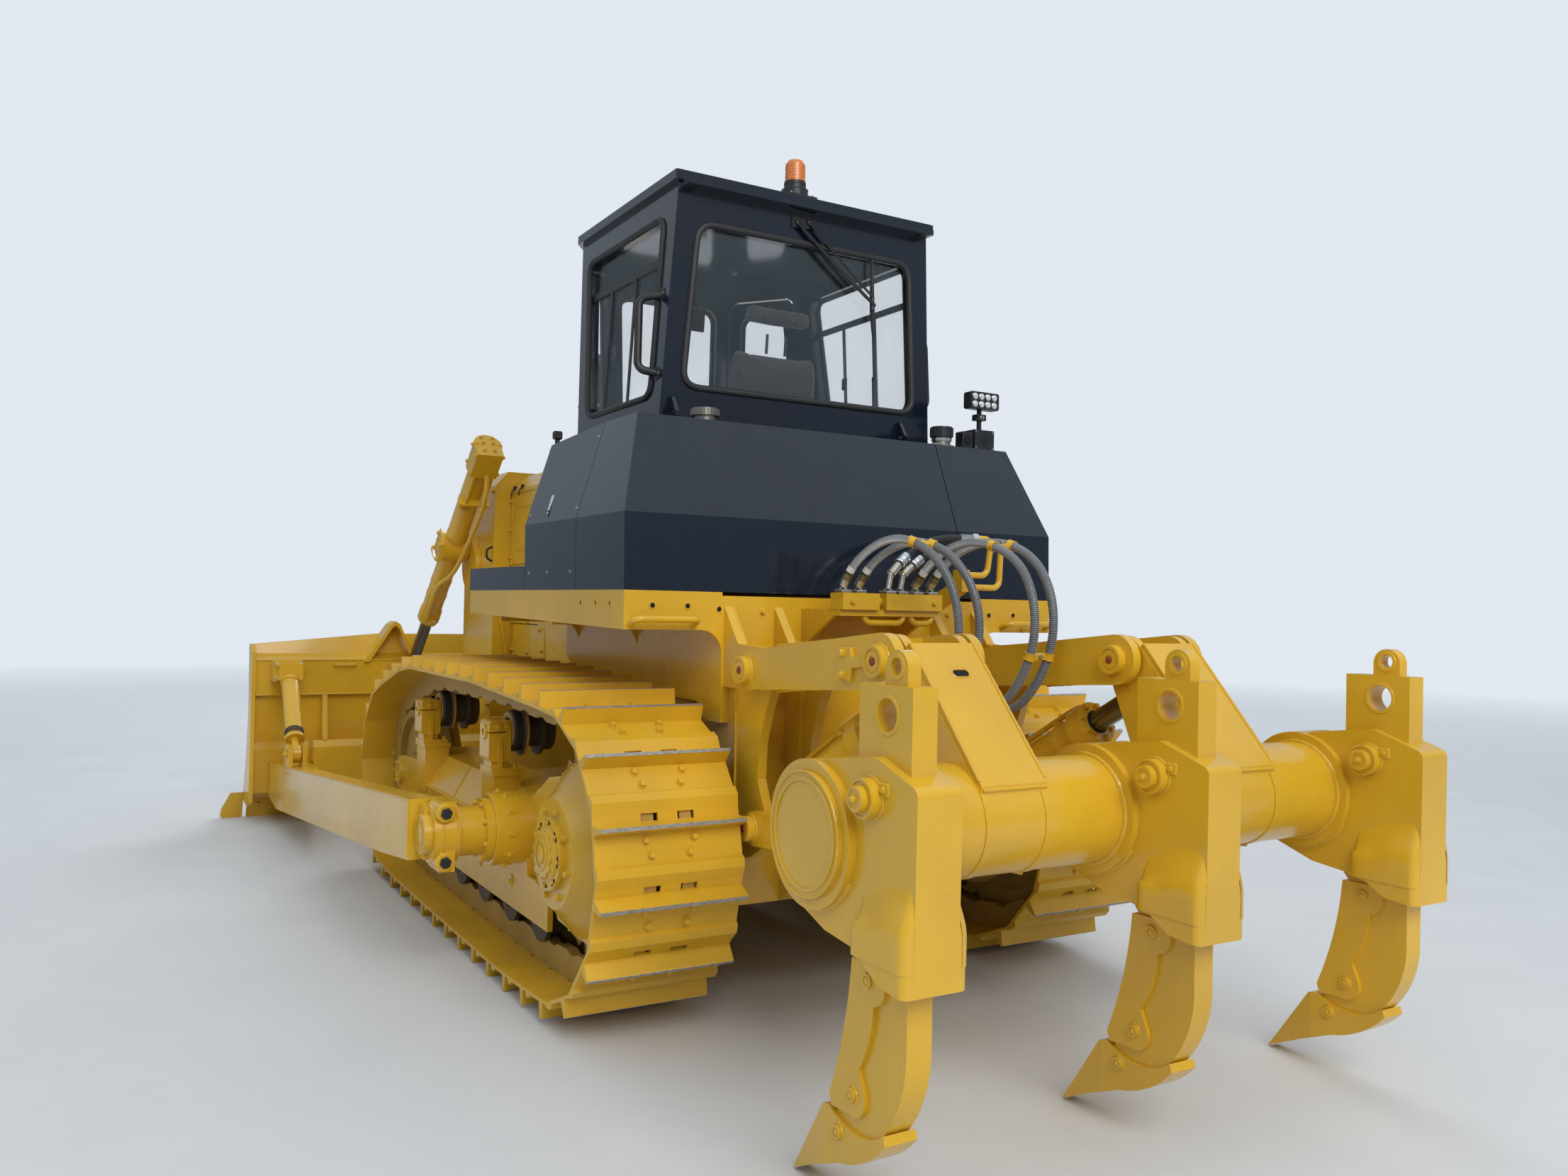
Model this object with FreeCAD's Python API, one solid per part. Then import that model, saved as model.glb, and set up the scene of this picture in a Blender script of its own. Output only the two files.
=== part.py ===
import FreeCAD, Part
import math
import os

# Crawler dozer with straight tilt blade and three-shank ripper.
# Drawn in millimetres about the sprocket axle: +X to the blade, +Y to the left, +Z up, ground at Z = 0.
# Every node is moved by ROW_SHIFT on export, so that the row's origin is under the middle of its box.
ROW_SHIFT = -1470.0

# Clearances
GAP = 6.0
RUN_FIT = 0.05
TOUCH = 0.5

# Track
GAUGE_HALF = 1000.0
SHOE_W = 560.0
LINKS = 38
TRACK_PHASE = 52.0
PIN_TO_SHOE = 60.0
PIN_TO_TIP = 134.0
RAIL_DEPTH = 52.0
RAIL_ROWS = ((-95.0, -50.0), (50.0, 95.0))
SPROCKET = dict(x=0.0, z=625.0, r=468.0)
IDLER = dict(x=2730.0, z=579.0, r=420.0)
ROLLER_R = 92.0
ROLLER_FLANGE_R = 112.0
ROLLER_X = (460.0, 842.0, 1224.0, 1606.0, 1988.0, 2370.0)
CARRIER_R = 92.0
CARRIER_Z = 980.0
CARRIER_X = (995.0, 2184.0)
CLAMP_IN = 104.0
PIN_TOP_Z = 1140.0
FRAME_IN = GAUGE_HALF - 158.0
FRAME_OUT = GAUGE_HALF + 160.0

# Tractor body
HULL_HALF = 430.0
HULL_REAR = -430.0
FRAME_TOP_Z = 1150.0
FRAME_FRONT_Z = 1110.0
DECK_Z = 1615.0
DECK_T = 14.0
DECK_HALF = 1050.0
DECK_REAR = -184.0
DECK_FRONT = 1803.0
BAND_REAR_Z = DECK_Z - 147.0
BAND_FRONT_Z = DECK_Z - 115.0
CHEEK_HALF = GAUGE_HALF - SHOE_W / 2.0 - 80.0
HOOD_HALF = 480.0
HOOD_TOP = 2335.0
HOOD_REAR = 1785.0
HOOD_NARROW = HOOD_HALF - 110.0
GUARD_REAR = 2925.0
GUARD_DEPTH = 625.0
GUARD_FRONT = GUARD_REAR + GUARD_DEPTH
GUARD_HALF = 590.0

# Fuel tank and side boxes
BOX_Z0 = DECK_Z
BOX_IN = 770.0
TANK_LEAN = 0.418
STEP_Z = BOX_Z0 + 114.0
TANK_CREASE_Z = 1908.0
TANK_TOP_Z = 2309.0
TANK_TOP_HALF = DECK_HALF - TANK_LEAN * (DECK_HALF - BOX_IN)
TANK_SPLIT_Y = -515.0

# Cab frustum: plan corners at its foot and under its roof
CAB_Z0 = 1730.0
CAB_Z1 = 3350.0
CAB_FOOT = ((316.0, 741.0), (1160.0, 741.0), (1734.0, 316.0))
CAB_HEAD = ((269.0, 650.0), (1370.0, 650.0), (1774.0, 351.0))
CAB_WALL = 50.0
BEACON = (330.0, 45.0)
HINGE_OUT = 18.0
HINGE_R = 13.0
HINGE_PIN_R = 7.0
HINGE_Z = (1980.0, 3090.0)

# Blade and push arms
ARM_PIVOT = (600.0, 620.0)
ARM_PIN_R = 60.0
ARM_OUT_Y = GAUGE_HALF + 600.0
ARM_FRONT = 4720.0
ARM_CLEAR_Y = GAUGE_HALF + SHOE_W / 2.0 + 50.0
BLADE_HALF = 1730.0
BLADE_BACK = 4655.0
BRACE_PIN_R = 24.0
BRACE_FOOT = (3910.0, 560.0)
BRACE_HEAD = (4478.0, 1060.0)
BLADE_TOP = 1306.0
LIFT_PIN = (4480.0, 1000.0)
LIFT_TRUNNION = (GUARD_FRONT - 180.0, 1905.0)
LIFT_Y = 720.0

# Ripper linkage, a true parallelogram
LINK_VEC = (-848.0, 74.0)
UPPER_FRONT = (-438.0, 1328.0)
LOWER_FRONT = (-500.0, 760.0)
RIP_Y = 500.0
TOWER_HALF = 130.0
EAR_IN = TOWER_HALF + GAP
EAR_T = 36.0
BEAM_AXIS = (-1578.0, 960.0)
BEAM_R = 165.0
RIP_CYL_BASE = (-390.0, 790.0)
RIP_CYL_EYE = (-1292.0, 1300.0)
RIP_PIN_R = 32.0
SHANK_PITCH = 1010.0
SHANK_T = 76.0
SHANK_REAR = -1962.0
SHANK_FRONT = -1735.0

V = FreeCAD.Vector
Y_AXIS = V(0, 1, 0)


# Shape helpers

def box(x0, x1, y0, y1, z0, z1):
    return Part.makeBox(x1 - x0, y1 - y0, z1 - z0, V(x0, y0, z0))


def wire_of(points):
    edges = []
    for a, b in zip(points, points[1:] + points[:1]):
        edges.append(Part.makeLine(a, b))
    return Part.Wire(edges)


def round_wire(points, radius):
    """Closed outline with each corner rounded; points are vectors in one plane."""
    edges = []
    ends = []
    count = len(points)
    for i, p in enumerate(points):
        before = (points[i - 1] - p).normalize()
        after = (points[(i + 1) % count] - p).normalize()
        half = before.getAngle(after) / 2.0
        cut = radius / math.tan(half)
        middle = p + (before + after).normalize() * (radius / math.sin(half) - radius)
        ends.append((p + before * cut, middle, p + after * cut))
    for i, (start, middle, stop) in enumerate(ends):
        edges.append(Part.Arc(start, middle, stop).toShape())
        edges.append(Part.makeLine(stop, ends[(i + 1) % count][0]))
    return Part.Wire(edges)


def prism(points, push):
    return Part.Face(wire_of(points)).extrude(push)


def xz(points, y0, y1):
    return prism([V(x, y0, z) for x, z in points], V(0, y1 - y0, 0))


def yz(points, x0, x1):
    return prism([V(x0, y, z) for y, z in points], V(x1 - x0, 0, 0))


def xy(points, z0, z1):
    return prism([V(x, y, z0) for x, y in points], V(0, 0, z1 - z0))


def round_xz(points, radius, y0, y1):
    wire = round_wire([V(x, y0, z) for x, z in points], radius)
    return Part.Face(wire).extrude(V(0, y1 - y0, 0))


def round_yz(points, radius, x0, x1):
    wire = round_wire([V(x0, y, z) for y, z in points], radius)
    return Part.Face(wire).extrude(V(x1 - x0, 0, 0))


def curve_xz(start, steps, y0, y1):
    """Plate with a curved outline; a step is (x, z) for a line, (mid x, mid z, x, z) for an arc."""
    edges = []
    here = V(start[0], y0, start[1])
    for step in steps + (start,):
        there = V(step[-2], y0, step[-1])
        if len(step) == 4:
            edges.append(Part.Arc(here, V(step[0], y0, step[1]), there).toShape())
        else:
            edges.append(Part.makeLine(here, there))
        here = there
    return Part.Face(Part.Wire(edges)).extrude(V(0, y1 - y0, 0))


def cyl_y(x, z, r, y0, y1):
    return Part.makeCylinder(r, y1 - y0, V(x, y0, z), Y_AXIS)


def cyl_x(y, z, r, x0, x1):
    return Part.makeCylinder(r, x1 - x0, V(x0, y, z), V(1, 0, 0))


def cyl_z(x, y, r, z0, z1):
    return Part.makeCylinder(r, z1 - z0, V(x, y, z0), V(0, 0, 1))


def rod(a, b, r):
    return Part.makeCylinder(r, (b - a).Length, a, b - a)


def turned_y(profile, x, z):
    """Body turned about an axle along Y; profile is (radius, y off the track's middle) pairs."""
    face = Part.Face(wire_of([V(x, GAUGE_HALF + y, z + r) for r, y in profile]))
    return face.revolve(V(x, 0, z), Y_AXIS, 360)


def bent(points, r, bend):
    """Tube of straight runs joined by tangent arcs."""
    edges = []
    start = points[0]
    for before, corner, after in zip(points, points[1:], points[2:]):
        back = (before - corner).normalize()
        ahead = (after - corner).normalize()
        half = back.getAngle(ahead) / 2.0
        cut = bend / math.tan(half)
        middle = corner + (back + ahead).normalize() * (bend / math.sin(half) - bend)
        edges.append(Part.makeLine(start, corner + back * cut))
        edges.append(Part.Arc(corner + back * cut, middle, corner + ahead * cut).toShape())
        start = corner + ahead * cut
    edges.append(Part.makeLine(start, points[-1]))
    path = Part.Wire(edges)
    ring = Part.Wire([Part.Circle(points[0], points[1] - points[0], r).toShape()])
    return path.makePipeShell([ring], True, False)


def fuse(shapes):
    if len(shapes) == 1:
        return shapes[0]
    return shapes[0].multiFuse(shapes[1:]).removeSplitter()


def mirrored(shape):
    return shape.mirror(V(0, 0, 0), Y_AXIS)


def loft(lower, upper, z0, z1):
    """Straight-sided solid between two plan outlines."""
    wires = [wire_of([V(x, y, z0) for x, y in lower]), wire_of([V(x, y, z1) for x, y in upper])]
    return Part.makeLoft(wires, True, True)


def hull_2d(c1, r1, c2, r2, y0, y1):
    """Link plate in XZ: two round ends and their outer tangents."""
    dx, dz = c2[0] - c1[0], c2[1] - c1[1]
    dist = math.hypot(dx, dz)
    ux, uz = dx / dist, dz / dist
    s = (r1 - r2) / dist
    k = math.sqrt(1.0 - s * s)
    corners = []
    for side in (1.0, -1.0):
        nx, nz = ux * s - uz * k * side, uz * s + ux * k * side
        corners.append(((c1[0] + r1 * nx, c1[1] + r1 * nz), (c2[0] + r2 * nx, c2[1] + r2 * nz)))
    quad = [corners[0][0], corners[0][1], corners[1][1], corners[1][0]]
    return fuse([xz(quad, y0, y1), cyl_y(c1[0], c1[1], r1, y0, y1), cyl_y(c2[0], c2[1], r2, y0, y1)])


def add(p, q):
    return (p[0] + q[0], p[1] + q[1])


# Track: pins stand at equal steps on the taut path round its wheels

def track_pins():
    roller_pin_r = ROLLER_R + RAIL_DEPTH
    roller_z = PIN_TO_TIP + roller_pin_r
    carrier_pin_r = PIN_TOP_Z - CARRIER_Z
    wheels = [(SPROCKET["x"], SPROCKET["z"], SPROCKET["r"])]
    wheels += [(x, CARRIER_Z, carrier_pin_r) for x in CARRIER_X]
    wheels += [(IDLER["x"], IDLER["z"], IDLER["r"])]
    wheels += [(ROLLER_X[-1], roller_z, roller_pin_r), (ROLLER_X[0], roller_z, roller_pin_r)]
    normals = []
    for (x1, z1, r1), (x2, z2, r2) in zip(wheels, wheels[1:] + wheels[:1]):
        dist = math.hypot(x2 - x1, z2 - z1)
        ux, uz = (x2 - x1) / dist, (z2 - z1) / dist
        s = (r1 - r2) / dist
        k = math.sqrt(1.0 - s * s)
        normals.append(math.atan2(uz * s + ux * k, ux * s - uz * k))
    path = []
    for i, (x, z, r) in enumerate(wheels):
        enter, leave = normals[i - 1], normals[i]
        sweep = (enter - leave) % (2.0 * math.pi)
        for step in range(41):
            angle = enter - sweep * step / 40.0
            path.append((x + r * math.cos(angle), z + r * math.sin(angle)))
    path.append(path[0])
    lengths = [0.0]
    for (xa, za), (xb, zb) in zip(path, path[1:]):
        lengths.append(lengths[-1] + math.hypot(xb - xa, zb - za))
    pins = []
    for i in range(LINKS):
        want = (TRACK_PHASE + lengths[-1] * i / LINKS) % lengths[-1]
        j = max(k for k in range(len(path) - 1) if lengths[k] <= want)
        t = (want - lengths[j]) / max(lengths[j + 1] - lengths[j], 1e-9)
        pins.append((path[j][0] + (path[j + 1][0] - path[j][0]) * t,
                     path[j][1] + (path[j + 1][1] - path[j][1]) * t))
    return pins


def along_links(pins, profile):
    """Points (u along the link, v outwards) of every link in turn."""
    points = []
    for (xa, za), (xb, zb) in zip(pins, pins[1:] + pins[:1]):
        pitch = math.hypot(xb - xa, zb - za)
        ux, uz = (xb - xa) / pitch, (zb - za) / pitch
        for u, v in profile:
            points.append((xa + ux * u - uz * v, za + uz * u + ux * v))
    return points


def mitred(pins, offset):
    """Loop parallel to the links, offset outwards."""
    points = []
    count = len(pins)
    for i in range(count):
        (xa, za), (xb, zb), (xc, zc) = pins[i - 1], pins[i], pins[(i + 1) % count]
        la, lb = math.hypot(xb - xa, zb - za), math.hypot(xc - xb, zc - zb)
        n1 = (-(zb - za) / la, (xb - xa) / la)
        n2 = (-(zc - zb) / lb, (xc - xb) / lb)
        bx, bz = n1[0] + n2[0], n1[1] + n2[1]
        size = math.hypot(bx, bz)
        reach = offset / ((bx * n1[0] + bz * n1[1]) / size)
        points.append((xb + bx / size * reach, zb + bz / size * reach))
    return points


SHOE_PROFILE = ((2.0, 88.0), (34.0, 88.0), (44.0, 74.0), (146.0, 74.0),
                (156.0, PIN_TO_TIP), (168.0, PIN_TO_TIP), (184.0, 71.0), (212.0, 71.0))
LINK_PROFILE = ((14.0, -38.0), (60.0, -RAIL_DEPTH), (156.0, -RAIL_DEPTH), (202.0, -38.0))


def shoe_windows(pins):
    """Openings in each shoe's trailing strip, over the ends of the two link rows."""
    blocks = []
    corners = [(186.0, 50.0), (186.0, 90.0), (213.0, 90.0), (213.0, 50.0)]
    for i in range(LINKS):
        outline = along_links([pins[i], pins[(i + 1) % LINKS]], corners)[:4]
        for side in (1, -1):
            y = sorted((GAUGE_HALF + side * 38.0, GAUGE_HALF + side * 102.0))
            blocks.append(xz(outline, *y))
    return Part.Compound(blocks)


def track_shoes(pins):
    y0, y1 = GAUGE_HALF - SHOE_W / 2.0, GAUGE_HALF + SHOE_W / 2.0
    outer = xz(along_links(pins, SHOE_PROFILE), y0, y1)
    inner = xz(mitred(pins, PIN_TO_SHOE), y0 - 1.0, y1 + 1.0)
    return outer.cut(inner).cut(shoe_windows(pins))


def track_chain(pins):
    rows = []
    for y0, y1 in RAIL_ROWS:
        outer = xz(mitred(pins, PIN_TO_SHOE), GAUGE_HALF + y0, GAUGE_HALF + y1)
        inner = xz(along_links(pins, LINK_PROFILE), GAUGE_HALF + y0 - 1.0, GAUGE_HALF + y1 + 1.0)
        rows.append(outer.cut(inner))
    return Part.Compound(rows)


def sprocket():
    teeth = 27
    points = []
    for i in range(teeth):
        for share, r in ((0.0, 437.0), (0.2, 437.0), (0.42, 488.0), (0.78, 488.0)):
            angle = 2.0 * math.pi * (i + share) / teeth
            points.append((SPROCKET["x"] + r * math.cos(angle), SPROCKET["z"] + r * math.sin(angle)))
    rim = xz(points, GAUGE_HALF - 32.0, GAUGE_HALF + 32.0)
    hub = turned_y([(0, -398), (245, -398), (300, -240), (300, -100), (350, -40), (350, 33), (0, 33)],
                   SPROCKET["x"], SPROCKET["z"])
    return fuse([rim, hub])


def idler():
    tread = IDLER["r"] - RAIL_DEPTH - 20.0
    half = [(tread + 22, 38), (tread, 44), (tread, 98), (tread - 40, 98), (tread - 40, 60), (110, 85),
            (110, 100), (0, 100)]
    profile = [(r, -y) for r, y in reversed(half)] + half
    return turned_y(profile, IDLER["x"], IDLER["z"])


def track_roller(x):
    lift = 5.0 if x in (ROLLER_X[0], ROLLER_X[-1]) else 0.0
    z = PIN_TO_TIP + RAIL_DEPTH + ROLLER_R + lift
    half = [(74, 32), (ROLLER_R, 40), (ROLLER_R, 97), (ROLLER_FLANGE_R, 100), (ROLLER_FLANGE_R, 120),
            (48, 120), (48, 138), (0, 138)]
    profile = [(r, -y) for r, y in reversed(half)] + half
    return turned_y(profile, x, z)


def carrier_roller(x):
    half = [(CARRIER_R - 18, 24), (CARRIER_R + 20, 32), (CARRIER_R + 20, 46), (CARRIER_R, 50),
            (CARRIER_R, 92), (CARRIER_R - 8, 98), (48, 98), (40, CLAMP_IN), (0, CLAMP_IN)]
    inner = [(0, -98), (CARRIER_R - 8, -98)] + [(r, -y) for r, y in reversed(half[:5])]
    return turned_y(inner + half, x, CARRIER_Z)


def carrier_post(x):
    """Box on the track frame and the bolted bracket whose split head clamps a carrier roller's shaft."""
    g, ledge = GAUGE_HALF, 806.0
    y = g + CLAMP_IN
    parts = [box(x - 88.0, x + 88.0, g + 60.0, g + 185.0, 560.0, ledge),
             box(x - 96.0, x + 96.0, g + 54.0, g + 192.0, ledge - 18.0, ledge),
             box(x - 84.0, x + 84.0, g + 68.0, g + 194.0, ledge, ledge + 18.0),
             box(x - 56.0, x + 56.0, y + 8.0, y + 84.0, ledge, ledge + 80.0),
             round_yz([(y, ledge + 44), (y + 100, ledge + 44), (y + 100, CARRIER_Z + 54), (y, CARRIER_Z + 54)],
                      20.0, x - 70.0, x + 70.0),
             xz([(x - 84, ledge + 16), (x - 74, CARRIER_Z - 30), (x + 74, CARRIER_Z - 30),
                 (x + 84, ledge + 16)], y + 41.0, y + 59.0),
             cyl_y(x, CARRIER_Z, 34.0, y + 90.0, y + 108.0)]
    slot = box(x - 71.0, x + 71.0, y + 20.0, y + 101.0, CARRIER_Z - 2.5, CARRIER_Z + 2.5)
    return fuse(parts).cut(slot).cut(cyl_y(x, CARRIER_Z, 16.0, y + 60.0, y + 109.0))


def track_frame():
    g = GAUGE_HALF
    section = [(FRAME_IN, 432), (FRAME_OUT, 432), (FRAME_OUT + 12, 590), (g + 66, 735), (g - 116, 760),
               (FRAME_IN, 700)]
    beam = yz(section, 500.0, 2310.0)
    guards = []
    for y0, y1 in ((FRAME_IN, FRAME_IN + 20.0), (FRAME_OUT - 22.0, FRAME_OUT)):
        guards.append(xz([(250, 262), (2480, 262), (2480, 340), (2400, 432), (400, 432), (250, 380)], y0, y1))
    plate = xz([(-300, 380), (-120, 300), (200, 320), (300, 425), (560, 436), (560, 740), (330, 860),
                (60, 905), (-150, 800), (-300, 640)], g + 100.0, g + 136.0)
    cover = [(0, 33), (330, 33), (330, 130), (240, 200), (205, 236), (104, 236), (104, 262), (78, 276),
             (0, 276)]
    drive = turned_y(cover, SPROCKET["x"], SPROCKET["z"])
    cheek = [(2310, 470), (2310, 690), (2640, 680), (2790, 660), (2840, 600), (2840, 550), (2780, 490),
             (2640, 470)]
    yoke = [xz(cheek, FRAME_IN - 2.0, g - 116.0), xz(cheek, g + 116.0, FRAME_OUT)]
    yoke.append(box(2200.0, 2330.0, FRAME_IN - 2.0, FRAME_OUT, 480.0, 690.0))
    axle = [cyl_y(IDLER["x"], IDLER["z"], 70.0, FRAME_IN - 2.0, g - 100.0),
            cyl_y(IDLER["x"], IDLER["z"], 70.0, g + 100.0, FRAME_OUT + 15.0)]
    px, pz = ARM_PIVOT
    trunnion = [cyl_y(px, pz, 150.0, g + 130.0, g + 300.0), cyl_y(px, pz, 128.0, g + 300.0, g + 338.0),
                cyl_y(px, pz, 100.0, g + 300.0, ARM_OUT_Y - 166.0),
                cyl_y(px, pz, ARM_PIN_R, g + 400.0, ARM_OUT_Y - 40.0)]
    step = box(2200.0, 2365.0, g - 100.0, g + 100.0, 640.0, 750.0)
    posts = [carrier_post(x) for x in CARRIER_X]
    return fuse([beam, plate, drive, step] + guards + yoke + axle + posts + trunnion)


def side_rollers():
    return Part.Compound([track_roller(x) for x in ROLLER_X])


def side_carriers():
    return Part.Compound([carrier_roller(x) for x in CARRIER_X])


# Tractor

def main_frame():
    lower = xz([(HULL_REAR, 520), (-300, 430), (3200, 430), (3500, 560), (3500, 900), (3380, FRAME_FRONT_Z),
                (2900, FRAME_FRONT_Z), (2860, FRAME_TOP_Z), (1300, FRAME_TOP_Z), (450, 1250),
                 (HULL_REAR, 1250)],
               -HULL_HALF, HULL_HALF)
    case_half = GAUGE_HALF - 398.0
    case = box(-300.0, 330.0, -case_half, case_half, 430.0, 1250.0)
    arms = box(800.0, 1500.0, -FRAME_IN, FRAME_IN, 600.0, 730.0)
    plate_z = DECK_Z - DECK_T
    cheeks = []
    for side in (1, -1):
        y = sorted((side * HULL_HALF, side * CHEEK_HALF))
        cheeks.append(xz([(DECK_REAR, 1110), (-60, 1110), (20, 1180), (1300, 1180), (1500, 1300),
                          (1500, plate_z), (DECK_REAR, plate_z)], *y))
    deck = box(DECK_REAR, 1500.0, -HULL_HALF, HULL_HALF, 1100.0, plate_z)
    plinth = box(330.0, 1500.0, 40.0 - CHEEK_HALF, CHEEK_HALF - 40.0, plate_z - 1.0, CAB_Z0)
    cover = cyl_x(0.0, 885.0, 320.0, HULL_REAR - 26.0, HULL_REAR)
    return fuse([lower, case, arms, deck, plinth, cover] + cheeks)


def fender_wall(x):
    """Cross bracket under the deck, with a wide fillet down to the main frame's cheek."""
    reach, low, out = 90.0, BAND_REAR_Z, DECK_HALF - DECK_T
    wall = yz([(CHEEK_HALF, DECK_Z - DECK_T), (CHEEK_HALF, low - reach), (CHEEK_HALF + reach, low - reach),
               (CHEEK_HALF + reach, low), (out, low), (out, DECK_Z - DECK_T)], x, x + DECK_T)
    return wall.cut(cyl_x(CHEEK_HALF + reach, low - reach, reach, x - 1.0, x + DECK_T + 1.0))


def fender():
    plate_z = DECK_Z - DECK_T
    top = box(DECK_REAR, DECK_FRONT, CHEEK_HALF, DECK_HALF, plate_z, DECK_Z)
    front = box(1500.0, HOOD_REAR - 1.0, 462.0, CHEEK_HALF, plate_z, DECK_Z)
    band = xz([(DECK_REAR, DECK_Z), (DECK_FRONT, DECK_Z), (DECK_FRONT, BAND_FRONT_Z), (DECK_REAR, BAND_REAR_Z)],
              DECK_HALF - DECK_T, DECK_HALF)
    nose = box(DECK_FRONT - DECK_T, DECK_FRONT, CHEEK_HALF, DECK_HALF - 1.0, BAND_FRONT_Z, plate_z + 1.0)
    out, low, back = DECK_HALF - 25.0, CHEEK_HALF + 125.0, DECK_REAR - 54.0
    grab = bent([V(DECK_REAR + 7, out, 1486), V(back, out, 1508), V(back, low, 1508),
                 V(DECK_REAR + 7, low, 1486)], 13.0, 26.0)
    walls = [fender_wall(x) for x in (DECK_REAR, 620.0, 1330.0)]
    return fuse([top, front, band, nose, grab] + walls)


def tank_body(outer_y, inner_y):
    """Creased and sloping box between a machine's outer side and an inner joint; y may be of either side."""
    edge = math.copysign(1.0, outer_y)
    back = math.copysign(BOX_IN, outer_y)
    foot = [(-181, inner_y), (-181, outer_y), (320, outer_y), (320, back), (240, back), (240, inner_y)]
    crease = [(-173, inner_y), (-173, outer_y + edge), (320, outer_y + edge), (320, back), (240, back),
              (240, inner_y)]
    top = math.copysign(TANK_TOP_HALF, outer_y)
    head = [(-2, inner_y), (-2, top), (320, top), (320, back), (240, back), (240, inner_y)]
    return fuse([loft(foot, crease, BOX_Z0, TANK_CREASE_Z), loft(crease, head, TANK_CREASE_Z, TANK_TOP_Z)])


def fuel_tank():
    return tank_body(DECK_HALF, TANK_SPLIT_Y)


def rear_box():
    return tank_body(-DECK_HALF, TANK_SPLIT_Y - 4.0)


def side_panel():
    x0 = 324.0
    foot = [(x0, DECK_HALF), (958, DECK_HALF), (958, BOX_IN), (x0, BOX_IN)]
    crease = [(x0, DECK_HALF + 1), (962, DECK_HALF + 1), (962, BOX_IN), (x0, BOX_IN)]
    head = [(x0, TANK_TOP_HALF), (900, TANK_TOP_HALF + 12), (900, BOX_IN), (x0, BOX_IN)]
    body = fuse([loft(foot, crease, STEP_Z, TANK_CREASE_Z), loft(crease, head, TANK_CREASE_Z, TANK_TOP_Z)])
    slope = xz([(x0 - 1, TANK_TOP_Z + 1), (1000, TANK_TOP_Z + 1), (1000, TANK_TOP_Z - 43)],
               BOX_IN - 10.0, DECK_HALF + 10.0)
    return body.cut(slope)


def low_box():
    rear = box(324.0, 958.0, BOX_IN, DECK_HALF, BOX_Z0, STEP_Z)
    nose = DECK_FRONT + 14.0
    front = round_xz([(962, BOX_Z0), (nose, BOX_Z0), (nose, STEP_Z - 4), (962, STEP_Z - 4)], 8.0,
                     BOX_IN, DECK_HALF)
    return Part.Compound([rear, front])


def hood_section(x, half, inset):
    side, shoulder = half - inset, half - 70.0
    low, bend, top = DECK_Z - inset / 12.0, 2250.0 - inset / 2.0, HOOD_TOP - inset
    return wire_of([V(x, y, z) for y, z in ((-side, low), (-side, bend), (-shoulder + inset / 2.0, top),
                                            (shoulder - inset / 2.0, top), (side, bend), (side, low))])


def hood():
    """Engine hood of folded plate, drawn in towards the cab so that the doors clear it."""
    wide, front = HOOD_REAR + 105.0, GUARD_REAR - 4.0
    outer = Part.makeLoft([hood_section(HOOD_REAR, HOOD_NARROW, 0.0), hood_section(wide, HOOD_HALF, 0.0),
                           hood_section(front, HOOD_HALF, 0.0)], True, True)
    inner = Part.makeLoft([hood_section(HOOD_REAR - 1.0, HOOD_NARROW, 12.0),
                           hood_section(wide, HOOD_HALF, 12.0),
                           hood_section(front + 1.0, HOOD_HALF, 12.0)], True, True)
    skin = outer.cut(inner)
    lower = []
    for side in (1, -1):
        y = sorted((side * HULL_HALF, side * (HOOD_HALF - 18.0)))
        lower.append(box(1500.0, front, y[0], y[1], 1040.0, DECK_Z + 40.0))
        y = sorted((side * HULL_HALF, side * (HOOD_HALF - 10.0)))
        lower.append(box(HOOD_REAR, front, y[0], y[1], DECK_Z, DECK_Z + 40.0))
    return fuse([skin] + lower)


def engine_block():
    return box(HOOD_REAR + 65.0, GUARD_REAR - 125.0, -330.0, 330.0, FRAME_TOP_Z, HOOD_TOP - 155.0)


def radiator_guard():
    outer = yz([(-GUARD_HALF, 860), (-GUARD_HALF, 2270), (-GUARD_HALF + 80, 2360), (GUARD_HALF - 80, 2360),
                (GUARD_HALF, 2270), (GUARD_HALF, 860)], GUARD_REAR, GUARD_FRONT)
    mouth = box(GUARD_FRONT - 150.0, GUARD_FRONT + 1.0, -450.0, 450.0, 1180.0, 2240.0)
    frame_slot = box(GUARD_REAR - 1.0, GUARD_FRONT + 1.0, -HULL_HALF, HULL_HALF, 800.0, FRAME_FRONT_Z)
    shell = outer.cut(mouth).cut(frame_slot)
    yokes = []
    x, z = LIFT_TRUNNION
    for side in (1, -1):
        a, b = sorted((side * (GUARD_HALF - 20.0), side * (LIFT_Y - 86.0)))
        yokes.append(hull_2d((x - 60.0, z - 120.0), 150.0, LIFT_TRUNNION, 95.0, a, b))
        for radius, reach in ((80.0, 78.0), (40.0, 53.0)):
            a, b = sorted((side * (GUARD_HALF + 10.0), side * (LIFT_Y - reach)))
            yokes.append(cyl_y(x, z, radius, a, b))
    return fuse([shell] + yokes)


def grille():
    frame = box(GUARD_FRONT - 60.0, GUARD_FRONT - 12.0, -450.0, 450.0, 1180.0, 2240.0)
    hole = box(GUARD_FRONT - 61.0, GUARD_FRONT - 11.0, -405.0, 405.0, 1225.0, 2195.0)
    bars = [frame.cut(hole)]
    for i in range(18):
        z = 1262.0 + i * 53.0
        bars.append(box(GUARD_FRONT - 50.0, GUARD_FRONT - 24.0, -406.0, 406.0, z - 9.0, z + 9.0))
    bars.append(box(GUARD_FRONT - 50.0, GUARD_FRONT - 16.0, -14.0, 14.0, 1224.0, 2196.0))
    return fuse(bars)


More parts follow.
